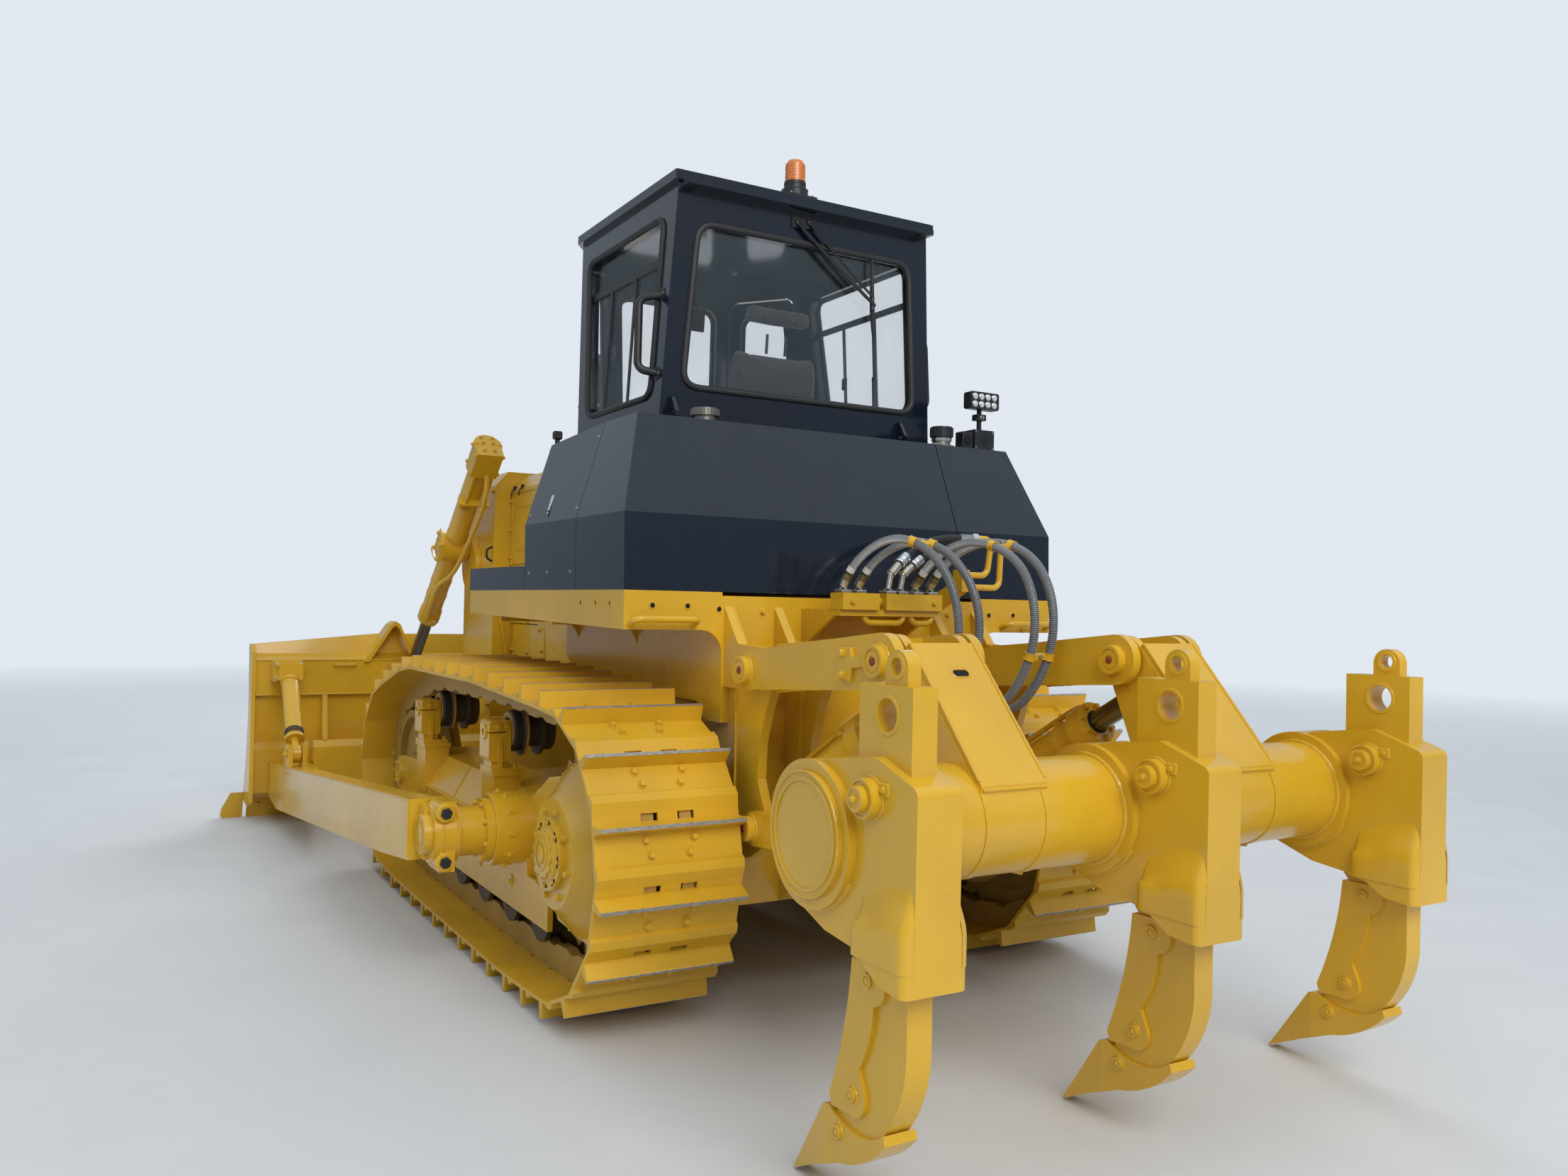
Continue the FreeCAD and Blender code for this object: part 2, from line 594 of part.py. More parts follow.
def exhaust():
    pipe = bent([V(2480, 150, HOOD_TOP), V(2480, 150, 2900), V(2380, 150, 3010)], 58.0, 130.0)
    base = cyl_z(2480.0, 150.0, 84.0, HOOD_TOP, HOOD_TOP + 30.0)
    can = cyl_z(2480.0, 150.0, 78.0, HOOD_TOP + 70.0, HOOD_TOP + 420.0)
    return fuse([pipe, base, can])


def pre_cleaner():
    stem = cyl_z(2120.0, -160.0, 62.0, HOOD_TOP, HOOD_TOP + 180.0)
    bowl = cyl_z(2120.0, -160.0, 122.0, HOOD_TOP + 180.0, HOOD_TOP + 300.0)
    cap = Part.makeCone(122.0, 60.0, 40.0, V(2120, -160, HOOD_TOP + 300.0))
    return fuse([stem, bowl, cap])


# Cab

def cab_planes():
    """Outward unit normal and distance of the cab's four left-hand wall planes."""
    (xr0, y0), (xm0, _), (xf0, yf0) = CAB_FOOT
    (xr1, y1), _, (xf1, _) = CAB_HEAD
    rise = CAB_Z1 - CAB_Z0
    planes = []
    for point, flat, up in (
            (V(xr0, y0, CAB_Z0), V(0, 1, 0), V(xr1 - xr0, 0, rise)),
            (V(xr0, y0, CAB_Z0), V(1, 0, 0), V(0, y1 - y0, rise)),
            (V(xm0, y0, CAB_Z0), V(xf0 - xm0, yf0 - y0, 0), V(CAB_HEAD[1][0] - xm0, y1 - y0, rise)),
            (V(xf0, yf0, CAB_Z0), V(0, 1, 0), V(xf1 - xf0, 0, rise))):
        normal = flat.cross(up).normalize()
        if normal.dot(point - V(900, 0, CAB_Z0)) < 0:
            normal = normal * -1.0
        planes.append((normal, normal.dot(point)))
    return planes


def cab_corners(z, inset):
    """Plan corners of the cab's left half at one height: rear, side to door, door to front."""
    traces = []
    for normal, far in cab_planes():
        traces.append((normal.x, normal.y, far - inset - normal.z * z))
    corners = []
    for (a1, b1, c1), (a2, b2, c2) in zip(traces, traces[1:]):
        det = a1 * b2 - a2 * b1
        corners.append(V((c1 * b2 - c2 * b1) / det, (a1 * c2 - a2 * c1) / det, z))
    return corners


def cab_ring(z, inset):
    left = cab_corners(z, inset)
    return left + [V(p.x, -p.y, p.z) for p in reversed(left)]


def cab_layer(inset, z0, z1):
    """The cab's tapered body inset on all sides, between two heights."""
    low, high = cab_ring(z0, inset), cab_ring(z1, inset)
    faces = [Part.Face(wire_of(low)), Part.Face(wire_of(high))]
    for i in range(6):
        j = (i + 1) % 6
        faces.append(Part.Face(wire_of([low[i], low[j], high[j], high[i]])))
    solid = Part.Solid(Part.Shell(faces))
    if solid.Volume < 0:
        solid.reverse()
    return solid


def door_cutter(side_in, z0, z1, depth, radius):
    """Straight cut through the left corner face, side_in from both of its upright edges."""
    normal, _ = cab_planes()[2]
    loop = []
    for z, turn in ((z0, 1), (z1, -1)):
        rear, front = cab_corners(z, 0.0)[1:]
        along = (front - rear).normalize()
        loop += [rear + along * side_in, front - along * side_in][::turn]
    wire = round_wire([p + normal * 30.0 for p in loop], radius)
    return Part.Face(wire).extrude(normal * -(depth + 30.0))


LIFT_TAB_Y = (653.0, -527.0)
REAR_WINDOW = ((604.0, 2490.0), (552.0, 3190.0), (-552.0, 3190.0), (-604.0, 2490.0))
SIDE_WINDOW = ((400.0, 2450.0), (1130.0, 2450.0), (1250.0, 3225.0), (385.0, 3225.0))
FRONT_WINDOW = ((270.0, 2330.0), (290.0, 3225.0), (-290.0, 3225.0), (-270.0, 2330.0))
DOOR_IN = 62.0
DOOR_Z0 = 1800.0
DOOR_Z1 = 3270.0


def window_cutters(grow):
    cutters = []
    rear = [(y + math.copysign(grow, y), z + (grow if z > 3000 else -grow)) for y, z in REAR_WINDOW]
    front = [(y + math.copysign(grow, y), z + (grow if z > 3000 else -grow)) for y, z in FRONT_WINDOW]
    side = [(x + (grow if x > 800 else -grow), z + (grow if z > 3000 else -grow)) for x, z in SIDE_WINDOW]
    cutters.append(round_yz(rear, 70.0, 150.0, 420.0))
    cutters.append(round_yz(front, 70.0, 1640.0, 1850.0))
    cutters.append(round_xz(side, 60.0, 560.0, 800.0))
    cutters.append(round_xz(side, 60.0, -800.0, -560.0))
    return cutters


def hinge_frame(z):
    """Centre of a left door hinge and its directions: back along the door, outwards, up the pin."""
    normal, _ = cab_planes()[2]
    low, high = cab_corners(CAB_Z0, 0.0)[2], cab_corners(CAB_Z1, 0.0)[2]
    up = (high - low).normalize()
    centre = low + up * ((z - low.z) / up.z) + normal * HINGE_OUT
    return centre, up.cross(normal).normalize(), normal, up


def hinge_leaf(z, t0, t1, n0, n1, low, high):
    """Flat leaf in a hinge's own directions, from low to high along its pin."""
    centre, back, out, up = hinge_frame(z)
    corners = [centre + up * low + back * t + out * n for t, n in ((t0, n0), (t1, n0), (t1, n1), (t0, n1))]
    return prism(corners, up * (high - low))


def hinge_turned(z, r, low, high):
    centre, _, _, up = hinge_frame(z)
    return rod(centre + up * low, centre + up * high, r)


def cab_shell():
    shell = cab_layer(0.0, CAB_Z0, CAB_Z1).cut(cab_layer(CAB_WALL, CAB_Z0 + 40.0, CAB_Z1 + 5.0))
    for cutter in window_cutters(0.0):
        shell = shell.cut(cutter)
    door = door_cutter(DOOR_IN, DOOR_Z0, DOOR_Z1, 140.0, 50.0)
    shell = shell.cut(door).cut(mirrored(door))
    visor = box(196.0, 300.0, -640.0, 640.0, CAB_Z1 - 26.0, CAB_Z1)
    tabs = []
    for y in LIFT_TAB_Y:
        tab = round_xz([(306, 2345), (306, 2440), (276, 2440), (230, 2374), (230, 2345)], 8.0, y - 8.0, y + 8.0)
        tabs.append(tab.cut(cyl_y(262.0, 2376.0, 13.0, y - 9.0, y + 9.0)))
    knuckles = []
    for z in HINGE_Z:
        for low, high in ((-50.0, -26.0), (26.0, 50.0)):
            knuckles.append(hinge_turned(z, HINGE_R, low, high))
            knuckles.append(hinge_leaf(z, 1.0, 26.0, -HINGE_OUT - 6.0, 0.0, low, high))
        knuckles.append(hinge_turned(z, HINGE_PIN_R, -48.0, 48.0))
    hinges = fuse(knuckles)
    return fuse([shell, visor, hinges, mirrored(hinges)] + tabs)


def cab_roof():
    return Part.Face(wire_of(cab_ring(CAB_Z1, -24.0))).extrude(V(0, 0, 40))


def cab_glass():
    layer = cab_layer(18.0, 2330.0, 3300.0).cut(cab_layer(24.0, 2329.0, 3301.0))
    panes = []
    for cutter in window_cutters(0.0):
        panes += layer.common(cutter).Solids
    return Part.Compound(panes)


def door_panel():
    slab = cab_layer(0.0, CAB_Z0, CAB_Z1).cut(cab_layer(36.0, CAB_Z0 - 1.0, CAB_Z1 + 1.0))
    panel = slab.common(door_cutter(DOOR_IN + GAP, DOOR_Z0 + GAP, DOOR_Z1 - GAP, 60.0, 46.0))
    window = door_cutter(DOOR_IN + 76.0, 2120.0, DOOR_Z1 - 80.0, 60.0, 60.0)
    panel = panel.cut(window)
    normal, _ = cab_planes()[2]
    rear, front = cab_corners(2250.0, 0.0)[1:]
    foot = rear + (front - rear).normalize() * 104.0
    low, high = foot - V(0, 0, 120), foot + V(0, 0, 120)
    low, high = low - normal * low.dot(normal), high - normal * high.dot(normal)
    wall = normal * cab_planes()[2][1]
    handle = bent([low + wall - normal * 8.0, low + wall + normal * 52.0,
                   high + wall + normal * 52.0, high + wall - normal * 8.0], 11.0, 24.0)
    leaves = []
    for z in HINGE_Z:
        leaves.append(hinge_turned(z, HINGE_R, -24.0, 24.0))
        leaves.append(hinge_leaf(z, 0.0, 116.0, -12.0, -4.0, -22.0, 22.0))
        leaves.append(hinge_leaf(z, 76.0, 116.0, -HINGE_OUT - 6.0, -4.0, -22.0, 22.0))
    panel = fuse([panel, handle] + leaves)
    for z in HINGE_Z:
        panel = panel.cut(hinge_turned(z, HINGE_PIN_R + RUN_FIT, -30.0, 30.0))
    return panel


def door_glass():
    slab = cab_layer(14.0, CAB_Z0, CAB_Z1).cut(cab_layer(20.0, CAB_Z0 - 1.0, CAB_Z1 + 1.0))
    pane = slab.common(door_cutter(DOOR_IN + 76.0, 2120.0, DOOR_Z1 - 80.0, 60.0, 60.0))
    return pane


def seat():
    base = box(640.0, 1020.0, -210.0, 210.0, CAB_Z0 + 40.0, 2120.0)
    post = box(585.0, 640.0, -180.0, 180.0, 1900.0, 2240.0)
    arms = [box(700.0, 1060.0, y, y + 60.0, 2200.0, 2400.0) for y in (-330.0, 270.0)]
    consoles = [box(620.0, 1180.0, y, y + 150.0, CAB_Z0 + 40.0, 2200.0) for y in (-375.0, 225.0)]
    sticks = []
    for y in (-300.0, 300.0):
        sticks += [rod(V(1120, y, 2180), V(1160, y, 2380), 11.0), Part.makeSphere(28.0, V(1160, y, 2390))]
    return fuse([base, post] + arms + consoles + sticks)


def seat_cushions():
    squab = round_xz([(640, 2120), (1090, 2120), (1100, 2235), (640, 2235)], 36.0, -222.0, 222.0)
    back = round_xz([(560, 2240), (690, 2240), (620, 2800), (500, 2800)], 36.0, -232.0, 232.0)
    head = round_xz([(500, 2815), (600, 2815), (580, 3010), (480, 3010)], 30.0, -170.0, 170.0)
    neck = box(520.0, 570.0, -60.0, 60.0, 2790.0, 2830.0)
    return Part.Compound([squab, fuse([back, neck, head])])


def dash():
    stand = xz([(1420, CAB_Z0 + 40), (1640, CAB_Z0 + 40), (1640, 2330), (1500, 2330), (1420, 2180)],
               -190.0, 190.0)
    return stand


def grab_rails():
    cab = cab_layer(0.0, CAB_Z0, CAB_Z1)
    rails = []
    for side in (1, -1):
        rail = bent([V(348, side * 672, 2540), V(396, side * 766, 2560), V(410, side * 758, 2868),
                     V(358, side * 662, 2884)], 17.0, 40.0)
        rails.append(rail.cut(cab))
    return Part.Compound(rails)


def beacon():
    x, y = BEACON
    return fuse([cyl_z(x, y, 46.0, CAB_Z1 + 127.0, CAB_Z1 + 206.0),
                 Part.makeCone(46.0, 36.0, 16.0, V(x, y, CAB_Z1 + 206.0))])


def beacon_base():
    x, y = BEACON
    return fuse([box(x - 68.0, x + 72.0, y - 78.0, y + 66.0, CAB_Z1 + 40.0, CAB_Z1 + 56.0),
                 cyl_z(x, y, 60.0, CAB_Z1 + 56.0, CAB_Z1 + 84.0),
                 cyl_z(x, y, 49.0, CAB_Z1 + 84.0, CAB_Z1 + 127.0)])


def work_lamp():
    """Lamp on its post behind the horn box of the reversing alarm."""
    post_y, top = -838.0, TANK_TOP_Z + 93.0
    alarm = box(20.0, 150.0, -880.0, -765.0, TANK_TOP_Z, top)
    post = box(72.0, 88.0, post_y - 8.0, post_y + 8.0, top, top + 130.0)
    clamp = box(60.0, 100.0, post_y - 26.0, post_y + 26.0, top + 52.0, top + 80.0)
    lamp = round_yz([(post_y - 88, top + 102), (post_y + 82, top + 102), (post_y + 82, top + 182),
                     (post_y - 88, top + 182)], 9.0, 44.0, 90.0)
    return fuse([alarm, post, clamp, lamp])


def filler_caps():
    fuel = fuse([cyl_z(82.0, 598.0, 44.0, TANK_TOP_Z, TANK_TOP_Z + 30.0),
                 cyl_z(82.0, 598.0, 58.0, TANK_TOP_Z + 26.0, TANK_TOP_Z + 54.0)])
    oil = fuse([cyl_z(72.0, -612.0, 40.0, TANK_TOP_Z, TANK_TOP_Z + 50.0),
                cyl_z(72.0, -612.0, 50.0, TANK_TOP_Z + 46.0, TANK_TOP_Z + 92.0)])
    return Part.Compound([fuel, oil])


# Blade

def blade_front(offset):
    """Moldboard curve as an arc of a circle, moved back by offset."""
    return (Part.Arc(V(4950 - offset, 0, 130), V(4752 - offset, 0, 640), V(4836 - offset, 0, BLADE_TOP + 60)))


def blade():
    y = BLADE_HALF - 25.0
    front, back = blade_front(0.0), blade_front(26.0)
    edges = [front.toShape(), Part.makeLine(V(4836, 0, BLADE_TOP + 60), V(4810, 0, BLADE_TOP + 60)),
             back.toShape(), Part.makeLine(V(4924, 0, 130), V(4950, 0, 130))]
    skin = Part.Face(Part.Wire(edges)).extrude(V(0, 2 * y, 0))
    skin.translate(V(0, -y, 0))
    top = yz([(-BLADE_HALF, -40), (BLADE_HALF, -40), (BLADE_HALF, 1227), (870, BLADE_TOP), (-870, BLADE_TOP),
              (-BLADE_HALF, 1227)], 4300.0, 5100.0)
    skin = skin.common(top)
    upper = xz([(BLADE_BACK, 880), (BLADE_BACK, 1122), (4752, 1170), (4752, 880)], -y, y)
    lower = xz([(4560, 260), (4560, 520), (4600, 565), (4752, 565), (4770, 420), (4900, 160), (4700, 160)],
               -ARM_CLEAR_Y, ARM_CLEAR_Y)
    heel_x = ARM_FRONT + TOUCH
    heel = xz([(heel_x, 200), (heel_x, 500), (4752, 560), (4770, 420), (4900, 160), (4790, 160)], -y, y)
    ends = []
    for side in (1, -1):
        a, b = sorted((side * y, side * BLADE_HALF))
        ends.append(xz([(4640, 150), (4640, 1180), (4690, 1232), (4790, 1232), (4810, 1180), (4776, 760),
                        (4850, 420), (4968, 130), (4740, 110)], a, b))
        for rib in (430.0, 1250.0):
            a = side * rib - 12.5
            ends.append(xz([(4590, 565), (4655, 881), (4752, 881), (4752, 565)], a, a + 25.0))
        peak = side * (LIFT_Y + 60.0)
        outer = yz([(peak + side * 210, 1110), (peak + side * 32, 1380), (peak, 1402), (peak - side * 32, 1380),
                    (peak - side * 150, 1110)], BLADE_BACK - 40.0, 4800.0)
        inner = yz([(peak + side * 182, 1100), (peak + side * 26, 1350), (peak, 1370), (peak - side * 24, 1350),
                    (peak - side * 128, 1100)], BLADE_BACK - 41.0, 4775.0)
        ends.append(outer.cut(inner))
        for y0 in (LIFT_Y - 100.0, LIFT_Y + 68.0):
            a, b = sorted((side * y0, side * (y0 + 32.0)))
            ends.append(hull_2d(LIFT_PIN, 72.0, (BLADE_BACK + 40.0, 995.0), 100.0, a, b))
        a, b = sorted((side * (LIFT_Y - 112.0), side * (LIFT_Y - 98.0)))
        ends.append(cyl_y(LIFT_PIN[0], LIFT_PIN[1], 42.0, a, b))
        a, b = sorted((side * (LIFT_Y + 98.0), side * (LIFT_Y + 112.0)))
        ends.append(cyl_y(LIFT_PIN[0], LIFT_PIN[1], 42.0, a, b))
        a, b = sorted((side * (ARM_OUT_Y - 180.0), side * (ARM_OUT_Y + 10.0)))
        ends.append(box(4480.0, 4660.0, a, b, 985.0, 1122.0))
    return fuse([skin, upper, lower, heel] + ends)


def cutting_edge():
    y = BLADE_HALF - 25.0
    plates = [xz([(5000, 0), (4972, 0), (4924.5, 129.5), (4950, 129.5)], -y, y)]
    for side in (1, -1):
        inner, tip = side * (BLADE_HALF + TOUCH), side * (BLADE_HALF + 142.0)
        bit = xz([(5000, 0), (4972, 0), (4905, 182), (4933, 182)], *sorted((inner, tip)))
        flare = yz([(inner, -1), (tip - side * 26, -1), (tip, 14), (tip - side * 4, 60), (tip - side * 60, 183),
                    (inner, 183)], 4800.0, 5010.0)
        plates.append(bit.common(flare))
    return Part.Compound(plates)


def push_arm():
    out, inner, clear = ARM_OUT_Y, ARM_OUT_Y - 110.0, ARM_CLEAR_Y + 10.0
    beam = xz([(693, 500), (693, 748), (ARM_FRONT, 407), (ARM_FRONT, 190), (4300, 150), (1200, 440)],
              inner, out)
    wide = xy([(3300, inner + 1), (ARM_FRONT, inner + 1), (ARM_FRONT, clear), (4300, clear)], 190.0, 407.0)
    px, pz = ARM_PIVOT
    socket = [cyl_y(px, pz, 118.0, out - 160.0, out - 55.0),
              box(px, px + 100.0, out - 150.0, out - 40.0, 515.0, 730.0),
              box(px - 105.0, px + 60.0, out - 138.0, out - 76.0, 480.0, 760.0),
              cyl_y(px, pz, 80.0, out - 55.0, out - 25.0)]
    bore = cyl_y(px, pz, ARM_PIN_R + RUN_FIT, out - 300.0, out - 37.0)
    bx, bz = BRACE_FOOT
    ears = [box(bx - 80.0, bx + 80.0, out - 110.0, out - 84.0, bz - 120.0, bz + 60.0),
            box(bx - 80.0, bx + 80.0, out - 26.0, out, bz - 120.0, bz + 60.0),
            cyl_y(bx, bz, BRACE_PIN_R, out - 120.0, out + 12.0)]
    return fuse([beam, wide] + socket + ears).cut(bore)


def brace():
    out = ARM_OUT_Y
    low, high = V(BRACE_FOOT[0], out - 55.0, BRACE_FOOT[1]), V(BRACE_HEAD[0], out - 85.0, BRACE_HEAD[1])
    way = (high - low).normalize()
    tube = rod(low + way * 130.0, high - way * 6.0, 55.0)
    eye = cyl_y(low.x, low.z, 56.0, out - 80.0, out - 30.0)
    seat = high.x + 2.0
    head = box(seat - 100.0, seat, out - 160.0, out - 10.0, high.z - 60.0, high.z + 50.0)
    beyond = box(seat, seat + 220.0, out - 300.0, out + 100.0, high.z - 160.0, high.z + 240.0)
    pin = cyl_y(low.x, low.z, BRACE_PIN_R + 0.3, out - 100.0, out - 10.0)
    return fuse([tube, eye, head, rod(low, high, 25.0)]).cut(beyond).cut(pin)


# Lift cylinders

def lift_axis():
    p, q = V(LIFT_TRUNNION[0], LIFT_Y, LIFT_TRUNNION[1]), V(LIFT_PIN[0], LIFT_Y, LIFT_PIN[1])
    return p, q, (q - p).normalize()


def lift_barrel():
    p, q, way = lift_axis()
    up = V(-way.z, 0, way.x)
    tail, nose = p - way * 800.0, p + way * 715.0
    tube = rod(tail, nose, 64.0)
    collar = cyl_y(p.x, p.z, 92.0, LIFT_Y - 77.0, LIFT_Y + 84.0)
    gland = rod(nose - way * 70.0, nose + way * 18.0, 72.0)
    port = rod(nose - way * 30.0, nose - way * 30.0 + up * -96.0, 26.0)
    pipe = bent([nose - way * 30.0 - up * 92.0, nose - way * 150.0 - up * 96.0, p - way * 250.0 - up * 128.0,
                 tail + way * 90.0 - up * 90.0], 15.0, 50.0)
    valve = rod(tail - way * 110.0, tail + way * 90.0, 84.0)
    head = box(-95.0, 95.0, -78.0, 78.0, -62.0, 62.0)
    head.rotate(V(0, 0, 0), Y_AXIS, -math.degrees(math.atan2(way.z, way.x)))
    head.translate(tail - way * 20.0 - up * 30.0)
    bore = rod(p - way * 640.0, nose + way * 40.0, 38.0 + RUN_FIT)
    body = fuse([tube, collar, gland, port, valve, head])
    pin_hole = cyl_y(p.x, p.z, 40.0 + RUN_FIT, LIFT_Y - 90.0, LIFT_Y - 52.0)
    return body.cut(bore).cut(pin_hole)


def lift_rod():
    p, q, way = lift_axis()
    stem = rod(p + way * 130.0, q - way * 40.0, 38.0)
    eye = cyl_y(q.x, q.z, 62.0, LIFT_Y - 60.0, LIFT_Y + 60.0)
    return fuse([stem, eye])


# Ripper

TOWER_INNER = ((-430, 640), (-520, 690), (-566, 760), (-520, 830), (-470, 930), (-478, 1060), (-520, 1180),
               (-560, 1260), (-548, 1380), (-470, 1412), (-300, 1420), (-184, 1560), (-184, 1251), (-430, 1251))
TOWER_OUTER = ((-300, 600), (-430, 640)) + TOWER_INNER[1:-1] + ((-300, 1251),)


def ripper_towers():
    plates = []
    for side in (1, -1):
        for inner, outline in ((RIP_Y - TOWER_HALF, TOWER_INNER), (RIP_Y + TOWER_HALF - 36.0, TOWER_OUTER)):
            a, b = sorted((side * inner, side * (inner + 36.0)))
            plate = fuse([xz(outline, a, b), cyl_y(UPPER_FRONT[0] - 20.0, UPPER_FRONT[1], 76.0, a, b)])
            for x, z, r in ((UPPER_FRONT[0], UPPER_FRONT[1], 36.0), (LOWER_FRONT[0], LOWER_FRONT[1], 34.0)):
                plate = plate.cut(cyl_y(x, z, r + RUN_FIT, a - 1.0, b + 1.0))
            plates.append(plate)
        a, b = sorted((side * HULL_HALF, side * (RIP_Y + TOWER_HALF - 30.0)))
        plates.append(cyl_y(RIP_CYL_BASE[0], RIP_CYL_BASE[1], RIP_PIN_R, a, b))
        plates.append(box(-318.0, -300.0, a, b, 640.0, 1240.0))
    return fuse(plates)


def upper_link():
    front, rear = UPPER_FRONT, add(UPPER_FRONT, LINK_VEC)
    parts = []
    for inner in (RIP_Y - EAR_IN - EAR_T, RIP_Y + EAR_IN):
        parts.append(hull_2d(front, 72.0, rear, 88.0, inner, inner + EAR_T))
    outline = [(-610, 1262), (-610, 1425), (-1100, 1468), (-1100, 1366), (-1000, 1302)]
    parts.append(xz(outline, RIP_Y - EAR_IN - 4.0, RIP_Y + EAR_IN + 4.0))
    for x, z in (front, rear):
        parts.append(cyl_y(x, z, 52.0, RIP_Y + EAR_IN + EAR_T - 2.0, RIP_Y + EAR_IN + EAR_T + 26.0))
        parts.append(cyl_y(x, z, 52.0, RIP_Y - EAR_IN - EAR_T - 26.0, RIP_Y - EAR_IN - EAR_T + 2.0))
        parts.append(cyl_y(x, z, 36.0, RIP_Y - EAR_IN - 2.0, RIP_Y + EAR_IN + 2.0))
    return fuse(parts)


def lower_frame():
    front, rear = LOWER_FRONT, add(LOWER_FRONT, LINK_VEC)
    parts = []
    for side in (1, -1):
        for inner in (RIP_Y - EAR_IN - EAR_T, RIP_Y + EAR_IN):
            a, b = sorted((side * inner, side * (inner + EAR_T)))
            parts.append(hull_2d(front, 62.0, rear, 62.0, a, b))
        a, b = sorted((side * (RIP_Y - EAR_IN - 4.0), side * (RIP_Y + EAR_IN + 4.0)))
        parts.append(xz([(-790, 722), (-790, 850), (-1130, 872), (-1130, 758)], a, b))
        parts.append(cyl_y(rear[0], rear[1], 34.0, a, b))
        for inner in (RIP_Y - EAR_IN - 4.0, RIP_Y + TOWER_HALF - 36.0):
            a, b = sorted((side * inner, side * (inner + 40.0)))
            parts.append(cyl_y(front[0], front[1], 34.0, a, b))
    parts.append(xz([(-830, 726), (-830, 846), (-1080, 866), (-1080, 750)], -(RIP_Y - EAR_IN - EAR_T + 4.0),
                    RIP_Y - EAR_IN - EAR_T + 4.0))
    for side in (1, -1):
        y = side * (RIP_Y + EAR_IN + EAR_T)
        for x, z in (front, rear):
            a, b = sorted((y - side * 2.0, y + side * 30.0))
            parts.append(cyl_y(x, z, 46.0, a, b))
    return fuse(parts)


HOLDER = ((-1385, 900), (-1440, 1085), (-1617, 1162), (-1849, 1195), (-2028, 1134), (-2024, 640), (-1921, 650),
          (-1850, 692), (-1633, 715), (-1470, 770))


def holder(y):
    """Cast shank holder: rounded cheek, collar round the beam and a flared foot."""
    body = round_xz(HOLDER, 28.0, y - 68.0, y + 68.0)
    low = [(-2024, y - 100), (-2024, y + 100), (-1790, y + 100), (-1790, y - 100)]
    high = [(-2026, y - 66), (-2026, y + 66), (-1930, y + 66), (-1930, y - 66)]
    rings = []
    for outline, z in ((low, 640.0), (low, 770.0), (high, 862.0)):
        rings.append(round_wire([V(px, py, z) for px, py in outline], 24.0))
    foot = Part.makeLoft(rings, True, True)
    under = xz([(-1780, 630), (-1780, 702), (-1850, 694), (-1921, 652), (-2030, 642), (-2030, 630)],
               y - 110.0, y + 110.0)
    front = xz([(-1770, 690), (-1770, 880), (-1900, 880), (-1796, 760)], y - 110.0, y + 110.0)
    foot = foot.cut(under).cut(front)
    wrap = cyl_y(BEAM_AXIS[0], BEAM_AXIS[1], BEAM_R + 34.0, y - 92.0, y + 92.0)
    pin = cyl_y(-1836.0, 1091.0, 52.0, y - 98.0, y + 98.0)
    core = cyl_y(-1836.0, 1091.0, 34.0, y - 118.0, y + 118.0)
    return fuse([body, foot, wrap, pin, core])


def ripper_beam():
    parts = [cyl_y(BEAM_AXIS[0], BEAM_AXIS[1], BEAM_R, -SHANK_PITCH, SHANK_PITCH)]
    for y in (-SHANK_PITCH, 0.0, SHANK_PITCH):
        parts.append(holder(y))
        if y:
            a, b = sorted((y + math.copysign(60.0, y), y + math.copysign(104.0, y)))
            parts.append(cyl_y(BEAM_AXIS[0], BEAM_AXIS[1], BEAM_R + 4.0, a, b))
    eye = add(UPPER_FRONT, LINK_VEC)
    low = add(LOWER_FRONT, LINK_VEC)
    half = TOWER_HALF - 4.0
    for side in (1, -1):
        for inner in (RIP_Y - half, RIP_Y + half - 32.0):
            a, b = sorted((side * inner, side * (inner + 32.0)))
            cheek = hull_2d(eye, 84.0, BEAM_AXIS, BEAM_R + 3.0, a, b)
            foot = hull_2d(low, 62.0, (-1480.0, 900.0), 110.0, a, b)
            parts.append(fuse([cheek, foot]))
        a, b = sorted((side * (RIP_Y - half + 4.0), side * (RIP_Y + half - 4.0)))
        parts.append(xz([(-1372, 1462), (-1350, 1448), (-1640, 1040), (-1716, 1040), (-1716, 1076)], a, b))
    body = fuse(parts)
    cuts = []
    for y in (-SHANK_PITCH, 0.0, SHANK_PITCH):
        cuts.append(box(SHANK_REAR, SHANK_FRONT, y - SHANK_T / 2.0, y + SHANK_T / 2.0, 500.0, 1300.0))
    for side in (1, -1):
        a, b = sorted((side * (RIP_Y - half - 1.0), side * (RIP_Y + half + 1.0)))
        cuts.append(cyl_y(eye[0], eye[1], 36.0 + RUN_FIT, a, b))
        cuts.append(cyl_y(low[0], low[1], 34.0 + RUN_FIT, a, b))
    for cutter in cuts:
        body = body.cut(cutter)
    return body


SHANK_START = (SHANK_FRONT, 1373.0)
SHANK = ((SHANK_REAR, 1373), (SHANK_REAR, 505), (-1913, 312, -1730, 166), (-1655, 225),
         (-1738, 480, -1765, 655), (SHANK_FRONT, 692))
EYE_X = -1869.0


def shank(y):
    body = curve_xz(SHANK_START, SHANK, y - SHANK_T / 2.0, y + SHANK_T / 2.0)
    eye = fuse([box(EYE_X - 47.0, EYE_X + 47.0, y - 20.0, y + 20.0, 1370.0, 1415.0),
                cyl_y(EYE_X, 1415.0, 47.0, y - 20.0, y + 20.0)])
    hole = cyl_y(-1858.0, 1298.0, 42.0, y - 60.0, y + 60.0)
    return fuse([body, eye]).cut(hole).cut(cyl_y(EYE_X, 1420.0, 22.0, y - 30.0, y + 30.0))


def ripper_shanks():
    return Part.Compound([shank(y) for y in (-SHANK_PITCH, 0.0, SHANK_PITCH)])


